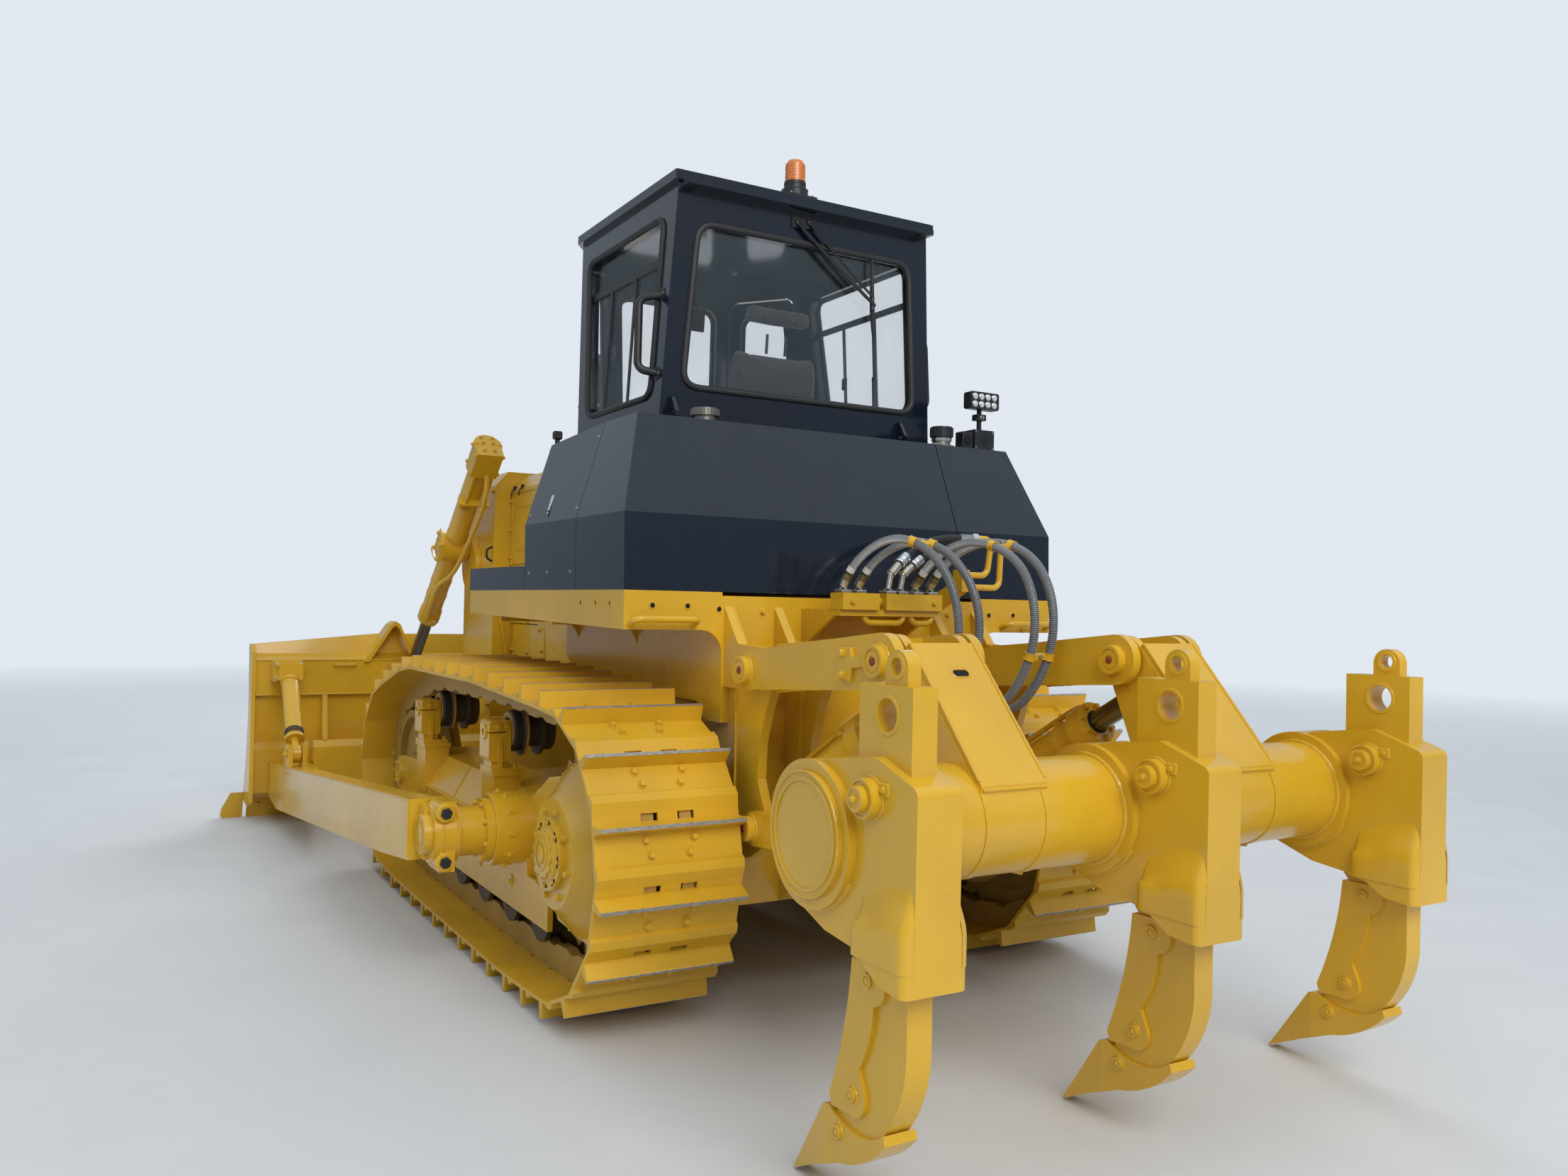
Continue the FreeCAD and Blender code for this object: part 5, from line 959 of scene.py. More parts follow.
def cab_y(z):
    return 741.0 - 91.0 * (z - 1730.0) / 1620.0


def cab_seals():
    seals = Piece("cab_seals", "chassis", "rubber")
    rear = [(cab_x(z) - 1.0, y, z) for y, z in ((604, 2490), (552, 3190), (-552, 3190), (-604, 2490))]
    front = [(1734.0 + 40.0 * (z - 1730.0) / 1620.0 + 1.0, y, z)
             for y, z in ((270, 2330), (290, 3225), (-290, 3225), (-270, 2330))]
    seals.tube(loop_of(rear, 82.0), 15.0, 0, 10, closed=True)
    seals.tube(loop_of(front, 82.0), 13.0, 0, 10, closed=True)
    for side in (1, -1):
        window = [(x, side * (cab_y(z) + 1.0), z) for x, z in ((400, 2450), (1130, 2450), (1250, 3225), (385, 3225))]
        seals.tube(loop_of(window, 72.0), 14.0, 0, 10, closed=True)
    seals.done()
    for side, label in ((1, "left"), (-1, "right")):
        door = Piece("door_seal_" + label, "door_" + label, "rubber", "satin", side=side)
        pane = [(1321.5, 637.0, 2120), (1460.2, 576.9, 3190), (1659.1, 429.5, 3190), (1632.7, 406.5, 2120)]
        outward = Vector((0.5948, 0.8033, -0.032))
        door.tube(loop_of([Vector(p) + outward for p in pane], 70.0), 11.0, 0, 10, closed=True)
        plate = [Vector(p) + outward * 0.5 for p in ((1268, 678, 2030), (1278, 673, 2100), (1318, 643, 2100), (1308, 648, 2030))]
        door.slab(plate, outward * 4.0, 1)
        for t in (0.3, 0.7):
            door.screw(plate[0].lerp(plate[2], t) + outward * 4.0, outward, 6.0, 3.0, 1, 1)
        door.done()


def cab_sliders():
    """Frames of the sliding side windows, inside the glass."""
    bars = Piece("window_frames", "chassis", "satin", "zinc")
    for side in (1, -1):
        z = 3042.0
        y = side * (cab_y(z) - 19.0)
        bars.slab([(392, y, z - 16), (1236, y, z - 16), (1238, y, z + 16), (390, y, z + 16)], (0, side * 8.0, 0))
        for x in (690.0, 968.0):
            low, high = Vector((x, side * (cab_y(2455) - 19.0), 2455)), Vector((x, side * (cab_y(z) - 19.0), z))
            bars.slab([low + Vector((-11, 0, 0)), low + Vector((11, 0, 0)), high + Vector((11, 0, 0)),
                       high + Vector((-11, 0, 0))], (0, side * 6.0, 0))
        latch = Vector((950.0, side * (cab_y(2736) - 34.0), 2736.0))
        bars.block(latch + Vector((-18, -7, -30)), latch + Vector((18, 7, 30)))
    bars.done()


def wiper():
    """Rear wiper: motor housing and two spindles over the window, a pair of arms and the blade."""
    piece = Piece("rear_wiper", "chassis", "satin", "rubber", "zinc")
    for y, z in ((70.0, 3272.0), (10.0, 3282.0)):
        spindle = Vector((cab_x(z), y, z))
        piece.lathe(spindle, (-1, 0, 0), [(-2, 15), (10, 15), (14, 11), (22, 11), (24, 8)], 0, 20)
    piece.slab([(270, 96, 3250), (270, 96, 3306), (268, -24, 3312), (268, -24, 3258)], (-7, 0, 0))
    for start, middle, end in (((252, 70, 3272), (248, -110, 3120), (252, -352, 2962)),
                               ((252, 10, 3282), (250, -160, 3130), (254, -340, 3002))):
        piece.tube(eased([start, middle, end], 8), [12.0] * 9 if start[1] == 70 else [9.0] * 9, 0, 8, flat=0.6)
    piece.tube([(252, -352, 2962), (254, -332, 2950)], 6.0, 0, 8)
    piece.tube([(256, -340, 3002), (254, -338, 2940)], 7.0, 0, 8)
    blade = [(cab_x(z) - 10.0, y, z) for y, z in ((-338.0, 3176.0), (-343.0, 3060.0), (-350.0, 2940.0), (-358.0, 2860.0))]
    piece.tube(blade + [(cab_x(2800.0) - 12.0, -364.0, 2800.0)], [5.0, 10.0, 12.0, 10.0, 5.0], 0, 8, flat=0.7)
    squeegee = [(cab_x(z) - 3.0, y, z) for y, z in ((-338.0, 3178.0), (-378.0, 2620.0))]
    piece.tube(squeegee, 4.5, 1, 6, flat=0.6)
    piece.tube([(cab_x(2640) + 4.0, -377.0, 2640), (cab_x(2500) + 4.0, -386.0, 2500)], 6.0, 0, 8)
    piece.block((286, -345, 2474), (300, -262, 2500), 0, 3.0)
    for y in (-335.0, -274.0):
        piece.screw((286.0, y, 2487.0), (-1, 0, 0), 5.0, 4.0, 2, 0)
    piece.done()


def cab_fittings():
    piece = Piece("cab_fittings", "chassis", "satin", "zinc", "rubber")
    for y in (598.0, -598.0):
        piece.block((200, y - 22, 3322), (300, y + 22, 3330), 0, 2.0)
    for side in (1, -1):
        for z, x, y in ((2540, 348, 672), (2884, 358, 662)):
            piece.ring((x, side * (cab_y(z) - 0.0), z), (0, side, 0), 30.0, 12.0, -1.0, 5.0)
            for dx in (-20.0, 20.0):
                piece.screw((x + dx, side * (cab_y(z) + 4.0), z), (0, side, 0), 5.0, 4.0, 1, 0)
    for x in (300.0, 700.0, 1100.0):
        for y in (560.0, -560.0):
            piece.bolt((x, y, 3390.0), (0, 0, 1), 16.0, 1)
    for y in (653.0, -527.0):
        piece.ring((262.0, y + 8.0, 2376.0), (0, 1, 0), 21.0, 13.0, -1.0, 2.0)
    piece.tube(loop_of([(250, 666, 3389), (1376, 666, 3389), (1790, 358, 3389), (1790, -358, 3389), (1376, -666, 3389),
                        (250, -666, 3389)], 12.0), 4.0, 0, 8, closed=True)
    for dx, dy in ((-52, -62), (56, -62), (-52, 50), (56, 50)):
        piece.bolt((330.0 + dx, 45.0 + dy, 3406.0), (0, 0, 1), 10.0, 1)
    for z, r in ((3436.0, 61.0), (3462.0, 50.5)):
        piece.ring((330.0, 45.0, z), (0, 0, 1), r, r - 3.0, 0.0, 6.0, 2)
    mirror = Vector((1490.0, -48.0, 3095.0))
    piece.slab([mirror + Vector((0, -38, -62)), mirror + Vector((0, 38, -62)), mirror + Vector((0, 44, 58)),
                mirror + Vector((0, -44, 58))], (-16, 0, 0))
    piece.tube([mirror + Vector((4, 0, 55)), mirror + Vector((60, 0, 205))], 7.0, 0, 10)
    piece.done()
    glow = Piece("beacon_ribs", "chassis", "amber")
    for k in range(5):
        glow.ring((330.0, 45.0, 3484.0 + k * 14.0), (0, 0, 1), 46.8, 45.0, 0.0, 5.0)
    glow.done()


def lamp_and_alarm():
    piece = Piece("work_lamp_detail", "chassis", "clear", "satin", "painted_shade", "zinc", "chrome")
    for row in (2526.0, 2562.0):
        for k in range(4):
            y = -898.0 + k * 38.0
            piece.lathe((43.0, y, row), (-1, 0, 0), [(-1, 16), (1.5, 16), (3.0, 14)], 4, 20)
            piece.lathe((40.5, y, row), (-1, 0, 0), [(-1, 12.5), (2.0, 12), (4.5, 7), (5.2, 2)], 0, 18)
    rim = loop_of([(43, -922, 2508), (43, -760, 2508), (43, -760, 2580), (43, -922, 2580)], 9.0)
    piece.tube(rim, 3.5, 1, 8, closed=True)
    for k in range(9):
        y = -918.0 + k * 19.5
        piece.block((84, y - 2, 2510), (100, y + 2, 2578), 1, 1.0)
    piece.bolt((60.0, -838.0, 2467.0), (-1, 0, 0), 14.0, 3)
    grid = [(0.0, 0.0)] + [(13.0 * math.cos(a), 13.0 * math.sin(a)) for a in [math.pi * k / 3 for k in range(6)]]
    grid += [(27.0 * math.cos(a), 27.0 * math.sin(a)) for a in [math.pi * k / 6 for k in range(12)]]
    # The alarm's holes are dark discs: painted shade.
    for dy, dz in grid:
        piece.lathe((20.0, -822.0 + dy, 2356.0 + dz), (-1, 0, 0), [(-1, 4.6), (0.8, 4.6), (1.0, 4.0)], 2, 10)
    for y in (-872.0, -773.0):
        for z in (2318.0, 2394.0):
            piece.screw((20.0, y, z), (-1, 0, 0), 5.0, 3.0, 3, 2)
    piece.block((24, -760, 2309), (84, -700, 2388), 1, 4.0)
    # Dark disc on the block: painted shade in its opening.
    piece.lathe((24, -730, 2350), (-1, 0, 0), [(-1, 24), (2, 24), (4, 20)], 2, 24)
    lamp = Vector((985.0, 900.0, 2318.0))
    piece.block(lamp + Vector((-17, -20, -6)), lamp + Vector((17, 20, 32)), 1, 6.0)
    piece.ring(lamp + Vector((17, 0, 13)), (1, 0, 0), 17.0, 13.0, -1.0, 4.0, 1)
    piece.lathe(lamp + Vector((17, 0, 13)), (1, 0, 0), [(-1, 13), (2, 12), (3, 8)], 0, 24)
    piece.block(lamp + Vector((-8, -10, -40)), lamp + Vector((8, 10, -4)), 1, 3.0)
    piece.done()
    caps = Piece("cap_detail", "chassis", "steel", "satin", "chrome", "zinc")
    caps.ring((82, 598, 2363), (0, 0, 1), 54.0, 46.0, -1.0, 3.0)
    caps.lathe((82, 598, 2362), (0, 0, 1), [(0, 30), (3, 30), (5, 24)], 0, 28)
    for k in range(24):
        a = 2 * math.pi * k / 24
        caps.tube([(82 + 58.4 * math.cos(a), 598 + 58.4 * math.sin(a), z) for z in (2338, 2360)], 1.8, 0, 6)
    caps.ring((72, -612, 2309), (0, 0, 1), 56.0, 39.0, 0.0, 8.0, 2)
    caps.ring((72, -612, 2336), (0, 0, 1), 46.0, 39.0, 0.0, 14.0, 2)
    caps.lathe((72, -612, 2354), (0, 0, 1), [(0, 50.6), (2, 52), (44, 52), (48.5, 47)], 1, 36)
    for k in range(30):
        a = 2 * math.pi * k / 30
        caps.tube([(72 + 52.2 * math.cos(a), -612 + 52.2 * math.sin(a), z) for z in (2358, 2396)], 2.0, 1, 6)
    caps.block((20, -560, 2309), (52, -530, 2318), 3, 2.0)
    caps.done()


cab_seals()
cab_sliders()
wiper()
cab_fittings()
lamp_and_alarm()


# Fenders, tank and manifold

def fender_plugs():
    piece = Piece("fender_plugs", "chassis", "yellow", "painted_shade", "zinc")
    for side in (1, -1):
        for x in (251.0, 92.0, -50.0):
            place = Vector((x, side * 1050.0, 1565.0))
            piece.ring(place, (0, side, 0), 13.0, 8.0, -1.0, 2.0)
            # Dark centre of the ring: painted shade in the hole.
            piece.lathe(place, (0, side, 0), [(-1, 8.5), (0.6, 8.5), (1.0, 6)], 1, 16)
    for y, z in ((935, 1559), (789, 1559), (654, 1549), (-693, 1543), (-833, 1545)):
        place = Vector((-184.0, y, z))
        piece.ring(place, (-1, 0, 0), 15.0, 10.0, -1.0, 2.5)
        # Dark centre of the ring: painted shade in the hole.
        piece.lathe(place, (-1, 0, 0), [(-1, 10.5), (0.6, 10.5), (1.0, 6)], 1, 16)
    for y, z in ((-461, 1543), (-413, 1486), (-888, 1481), (461, 1543)):
        piece.bolt((-184.0, y, z), (-1, 0, 0), 18.0)
    piece.done()


def manifold():
    piece = Piece("manifold_detail", "chassis", "yellow", "zinc", "satin")
    for x, y in ((-429, 244), (-428, 173), (-426, -103), (-426, -175), (-448.5, 47), (-446.6, -13.5)):
        piece.block((x - 29, y - 23, 1622), (x + 29, y + 23, 1634), 1, 2.5)
        for dx in (-20.0, 20.0):
            for dy in (-14.0, 14.0):
                piece.lathe((x + dx, y + dy, 1633.0), (0, 0, 1), [(0, 6.5), (8, 6.5), (9.5, 5.2)], 2, 14)
                piece.lathe((x + dx, y + dy, 1640.5), (0, 0, 1), [(0, 3.4), (2.2, 3.4)], 1, 6)
    piece.ring((-490, 48, 1589), (-1, 0, 0), 13.0, 7.5, -1.0, 2.0)
    for y in (-150.0, 240.0):
        piece.bolt((-490, y, 1589), (-1, 0, 0), 17.0)
    piece.done()


def round_cover():
    """Bolts of the rear frame's round cover and the seam beside it."""
    piece = Piece("rear_cover_bolts", "chassis", "yellow")
    for k in range(16):
        a = 2 * math.pi * k / 16
        piece.bolt((-456.0, 294.0 * math.cos(a), 885.0 + 294.0 * math.sin(a)), (-1, 0, 0), 22.0)
    piece.ring((-456.0, 0, 885.0), (-1, 0, 0), 262.0, 250.0, -1.0, 4.0)
    piece.done()


def tank_detail():
    """Paddle latches sunk in the side panels, and the panels' screws."""
    piece = Piece("tank_detail", "chassis", "black", "painted_shade", "zinc", "chrome")
    for side in (1, -1):
        lean = Vector((0, side * 401.0, 118.0)).normalized()
        up = Vector((0, side * -118.0, 401.0)).normalized()
        middle = Vector((690.0, side * (1051.0 - 118.0 * (1986.0 - 1908.0) / 401.0), 1986.0))
        outline = [middle + Vector((19.0 * cx, 0, 0)) + up * (54.0 * cz) for cx, cz in
                   ((-1, -1), (1, -1), (1, 1), (-1, 1))]
        recess = loop_of(outline, 10.0)
        # Dark slab in the recess: painted shade.
        piece.slab(recess, lean * 1.2, 1, 0.4)
        piece.tube(recess, 2.5, 0, 8, closed=True)
        paddle = [middle + Vector((11.0 * cx, 0, 0)) + up * (8.0 + 36.0 * cz) for cx, cz in
                  ((-1, -1), (1, -1), (1, 1), (-1, 1))]
        piece.slab(paddle, lean * 6.0, 3, 2.5)
        piece.lathe(middle - up * 42.0, lean, [(0, 8.5), (4, 8.5), (5.5, 6)], 3, 16)
        for x, z in ((352.0, 1950.0), (352.0, 2250.0), (930.0, 1950.0), (930.0, 2250.0)):
            place = Vector((x, side * (1051.0 - 118.0 * (z - 1908.0) / 401.0), z))
            piece.screw(place, lean, 6.0, 4.0, 2, 1)
        for x in (380.0, 660.0, 900.0):
            piece.screw((x, side * 1050.0, 1690.0), (0, side, 0), 6.0, 4.0, 2, 1)
    piece.done()


fender_plugs()
manifold()
round_cover()
tank_detail()


# Ripper

RIP_Y = 500.0
BEAM = (-1578.0, 960.0)


def weld(piece, points, r=6.0, closed=False, look=0):
    """Lumpy bead along a line."""
    points = [Vector(p) for p in points]
    ends = points + points[:1] if closed else points
    line = []
    for a, b in zip(ends, ends[1:]):
        count = max(1, round((b - a).length / 13.0))
        line += [a.lerp(b, k / count) for k in range(count)]
    if not closed:
        line.append(ends[-1])
    sizes = [r * (0.93 + 0.16 * (k % 2) + 0.25 * noise.noise(p * 0.05)) for k, p in enumerate(line)]
    piece.tube(line, sizes, look, 8, closed=closed)


def circle_y(x, y, z, r, start=0.0, stop=360.0, count=48):
    closed = stop - start >= 360.0
    steps = count if closed else count + 1
    return [Vector((x + r * math.cos(a), y, z + r * math.sin(a))) for a in
            [math.radians(start + (stop - start) * k / count) for k in range(steps)]]


def beam_detail():
    piece = Piece("ripper_beam_detail", "ripper_beam", "yellow", "painted_shade", "steel")
    for y in (-1010.0, 0.0, 1010.0):
        for side in (1, -1):
            if abs(y + side * 95.0) < 1090.0:
                weld(piece, circle_y(BEAM[0], y + side * 93.0, BEAM[1], 167.0), 8.0, closed=True)
            weld(piece, circle_y(BEAM[0], y + side * 69.0, BEAM[1], 199.0, -150.0, 60.0), 7.0)
            end = Vector((-1836.0, y + side * 118.0, 1091.0))
            out = (0, side, 0)
            piece.ring(end, out, 33.0, 24.0, -1.0, 2.5)
            piece.bolt(end, out, 15.0)
            piece.ring((-1836.0, y + side * 98.0, 1091.0), out, 51.0, 44.0, -1.0, 3.0)
            piece.bolt((-1836.0 - 60.0, y + side * 68.0, 1119.0), out, 15.0)
            piece.block((-1916, y + side * 68.0 - 5, 1102), (-1876, y + side * 68.0 + 5, 1136), 0, 3.0)
            piece.tube(circle_y(-1836.0, y + side * 69.0, 1091.0, 54.0), 4.0, 0, 8, closed=True)
    for side in (1, -1):
        end = side * 1114.0
        piece.ring((BEAM[0], end, BEAM[1]), (0, side, 0), 152.0, 142.0, -1.0, 4.0)
        weld(piece, circle_y(BEAM[0], end, BEAM[1], 166.0), 4.0, closed=True)
        for face in (RIP_Y - 127.0, RIP_Y + 127.0):
            weld(piece, circle_y(BEAM[0], side * face, BEAM[1], 169.0, -100.0, 40.0), 7.0)
        slope = Vector((-0.665, 0, -0.747))
        normal = Vector((-0.747, 0, 0.665))
        middle = Vector((-1451.0, side * 487.0, 1373.0))
        outline = []
        for k in range(28):
            a = 2 * math.pi * k / 28
            across = 17.0 if math.cos(a) > 0 else -17.0
            outline.append(middle + Vector((0, across + 15.0 * math.cos(a), 0)) + slope * (15.0 * math.sin(a)))
        # Dark slab in the slot: painted shade.
        piece.slab(outline, normal * 0.8, 1, 0.3)
        piece.tube(outline, 3.0, 0, 8, closed=True)
        for y in (side * RIP_Y - 121.0, side * RIP_Y + 121.0):
            weld(piece, [(-1374, y, 1461), (-1540, y, 1275), (-1706, y, 1088)], 5.0)
        weld(piece, [(-1716, side * RIP_Y - 118.0, 1064), (-1716, side * RIP_Y + 118.0, 1064)], 6.0)
    piece.done()


def holder_flare():
    """Cast blend between each holder's cheek and its wider foot."""
    piece = Piece("holder_flare", "ripper_beam", "yellow")
    xs = [-2025.5, -2022.0, -2016.0, -2008.0, -1998.0] + [-1980.0 + 22.0 * i for i in range(7)] + \
         [-1830.0, -1814.0, -1806.0, -1798.0, -1792.0, -1789.5]
    zs = [700.0, 740.0, 770.0] + [780.0 + 10.0 * i for i in range(16)]
    for y in (-1010.0, 0.0, 1010.0):
        for side in (1, -1):
            rows = []
            for z in zs:
                row = []
                for x in xs:
                    ahead = min(1.0, max(0.0, (x + 1930.0) / 140.0))
                    t = min(1.0, max(0.0, (z - 862.0 + 62.0 * ahead + 92.0) / 142.0))
                    wide = 67.4 + 35.0 * (1.0 - t * t * (3.0 - 2.0 * t))
                    edge = -1790.0 - 140.0 * (z - 770.0) / 92.0
                    if z <= 770.0:
                        wide = max(wide, 100.7)
                    elif z < 862.0 and x <= edge:
                        wide = max(wide, 100.7 - 34.0 * (z - 770.0) / 92.0)
                    corner = max(-2000.0 - x, x + 1815.0, 0.0)
                    wide -= 25.5 - math.sqrt(max(0.0, 25.5 ** 2 - corner ** 2))
                    row.append(Vector((x, y + side * wide, z)))
                rows.append(row)
            piece.loft(rows, caps=False, around=False)
    piece.done()


def shank_detail():
    piece = Piece("ripper_pins", "ripper_beam", "yellow", "steel", "satin")
    for y in (-1010.0, 0.0, 1010.0):
        for side in (1, -1):
            for x, z in ((-1815.0, 630.0), (-1752.0, 322.0), (-1690.0, 205.0)):
                place = Vector((x, y + side * 57.0, z))
                piece.ring(place, (0, side, 0), 18.5, 12.0, -1.0, 2.0)
                piece.lathe(place, (0, side, 0), [(-1, 10), (1.5, 10), (3.0, 7)], 0, 20)
                piece.tube(circle_y(x, y + side * 50.0, z, 21.0), 3.0, 0, 6, closed=True)
            piece.ring((-1869.0, y + side * 20.0, 1420.0), (0, side, 0), 34.0, 23.0, -1.0, 3.0)
            piece.ring((-1858.0, y + side * 38.0, 1298.0), (0, side, 0), 52.0, 43.0, -1.0, 3.0)
    piece.done()


def link_detail(side, label):
    out = Vector((0, 1, 0))
    link = Piece("link_detail_" + label, "ripper_link_" + label, "yellow", "red", "steel", side=side)
    for x, z in ((-438.0, 1328.0), (-1286.0, 1402.0)):
        for y, way in ((698.0, out), (302.0, -out)):
            link.ring((x, y, z), way, 51.0, 39.0, -1.0, 3.5)
            link.ring((x, y, z), way, 33.0, 16.0, -1.0, 2.0)
            link.lathe((x, y, z), way, [(-1, 12.5), (3, 12.5), (7, 8), (8, 4)], 1, 20)
        weld(link, circle_y(x, 672.0, z, 53.0), 5.0, closed=True)
    link.slab([(-1080, 672, 1334), (-1142, 672, 1329), (-1150, 672, 1372), (-1228, 672, 1384), (-1230, 672, 1418),
               (-1150, 672, 1412), (-1142, 672, 1440), (-1080, 672, 1438)], out * 13.0, 0, 3.0)
    for x, z in ((-1103.0, 1420.0), (-1105.0, 1350.0)):
        link.bolt((x, 685.0, z), out, 22.0)
    weld(link, [(-620, 641, 1425), (-860, 641, 1446), (-1090, 641, 1466)], 5.0)
    weld(link, [(-620, 641, 1262), (-800, 641, 1281), (-990, 641, 1300)], 5.0)
    link.done()
    low = Piece("lower_pins_" + label, "ripper_lower", "yellow", "red", "steel", side=side)
    for x, z in ((-500.0, 760.0), (-1348.0, 834.0)):
        low.ring((x, 702.0, z), out, 45.0, 34.0, -1.0, 3.5)
        low.lathe((x, 702.0, z), out, [(-1, 12.5), (3, 12.5), (7, 8), (8, 4)], 1, 20)
        weld(low, circle_y(x, 672.0, z, 48.0), 5.0, closed=True)
    for x, z in ((-720.0, 742.0), (-720.0, 812.0)):
        low.bolt((x, 672.0, z), out, 20.0)
    weld(low, [(-800, 641, 852), (-960, 641, 862), (-1120, 641, 872)], 5.0)
    low.done()
    tower = Piece("tower_welds_" + label, "chassis", "yellow", side=side)
    weld(tower, [(-300, 632, 1245), (-300, 632, 940), (-300, 632, 640)], 5.0)
    weld(tower, [(-455, 592, 1400), (-300, 592, 1414), (-192, 592, 1550)], 5.0)
    weld(tower, [(-290, 594, 650), (-290, 594, 950), (-290, 594, 1240)], 6.0)
    tower.tube(circle_y(-458.0, 631.0, 1328.0, 76.0, 90.0, 270.0, 30), 3.0, 0, 8)
    tower.done()


def ripper_cylinder(side, label):
    p, q = Vector((-390.0, RIP_Y, 790.0)), Vector((-1292.0, RIP_Y, 1300.0))
    way = (q - p).normalized()
    up = Vector((-way.z, 0, way.x)) * -1.0
    piece = Piece("ripper_cylinder_" + label, "ripper_barrel_" + label, "yellow", "steel", "rubber", side=side)
    for k in range(8):
        a = 2 * math.pi * (k + 0.5) / 8
        radial = up * math.cos(a) + Vector((0, math.sin(a), 0))
        piece.bolt(p + way * 740.0 + radial * 68.0, way, 20.0)
    piece.ring(p + way * 740.0, way, 54.0, 41.5, -1.0, 7.0)
    piece.ring(p + way * 745.0, way, 47.0, 41.0, 0.0, 6.0, 2)
    pipe = [p + way * 120.0 + up * 60.0, p + way * 130.0 + up * 88.0, p + way * 400.0 + up * 88.0,
            p + way * 680.0 + up * 92.0, p + way * 700.0 + up * 80.0]
    piece.tube(eased(pipe, 6), 11.0, 0, 12)
    for s in (250.0, 560.0):
        piece.ring(p + way * s, way, 69.0, 65.0, -16.0, 16.0)
        piece.block(p + way * s + up * 74.0 + Vector((-16, -20, -12)), p + way * s + up * 74.0 + Vector((16, 20, 12)))
    weld(piece, [p + way * 82.0 + up * (62.0 * math.cos(a)) + Vector((0, 62.0 * math.sin(a), 0)) for a in
                 [2 * math.pi * k / 24 for k in range(24)]], 6.0, closed=True)
    piece.done()
    rod = Piece("ripper_rod_end_" + label, "ripper_rod_" + label, "yellow", "red", side=side)
    for y, out in ((RIP_Y + 50.0, (0, 1, 0)), (RIP_Y - 50.0, (0, -1, 0))):
        rod.ring((q.x, y, q.z), out, 54.0, 46.0, -1.0, 2.0)
    rod.ring(q - way * 52.0, -way, 46.0, 40.2, -6.0, 8.0)
    rod.done()


beam_detail()
holder_flare()
shank_detail()
for rip_side, rip_label in ((1, "left"), (-1, "right")):
    link_detail(rip_side, rip_label)
    ripper_cylinder(rip_side, rip_label)


# Lift cylinders

LIFT_P, LIFT_Q = Vector((3370.0, 720.0, 1905.0)), Vector((4480.0, 720.0, 1000.0))
LIFT_WAY = (LIFT_Q - LIFT_P).normalized()
LIFT_UP = Vector((-LIFT_WAY.z, 0, LIFT_WAY.x))


def lift(s, y, h):
    """A point in the lift cylinder's own frame: along it, across the machine, square to both."""
    return Vector((LIFT_P.x, y, LIFT_P.z)) + LIFT_WAY * s + LIFT_UP * h


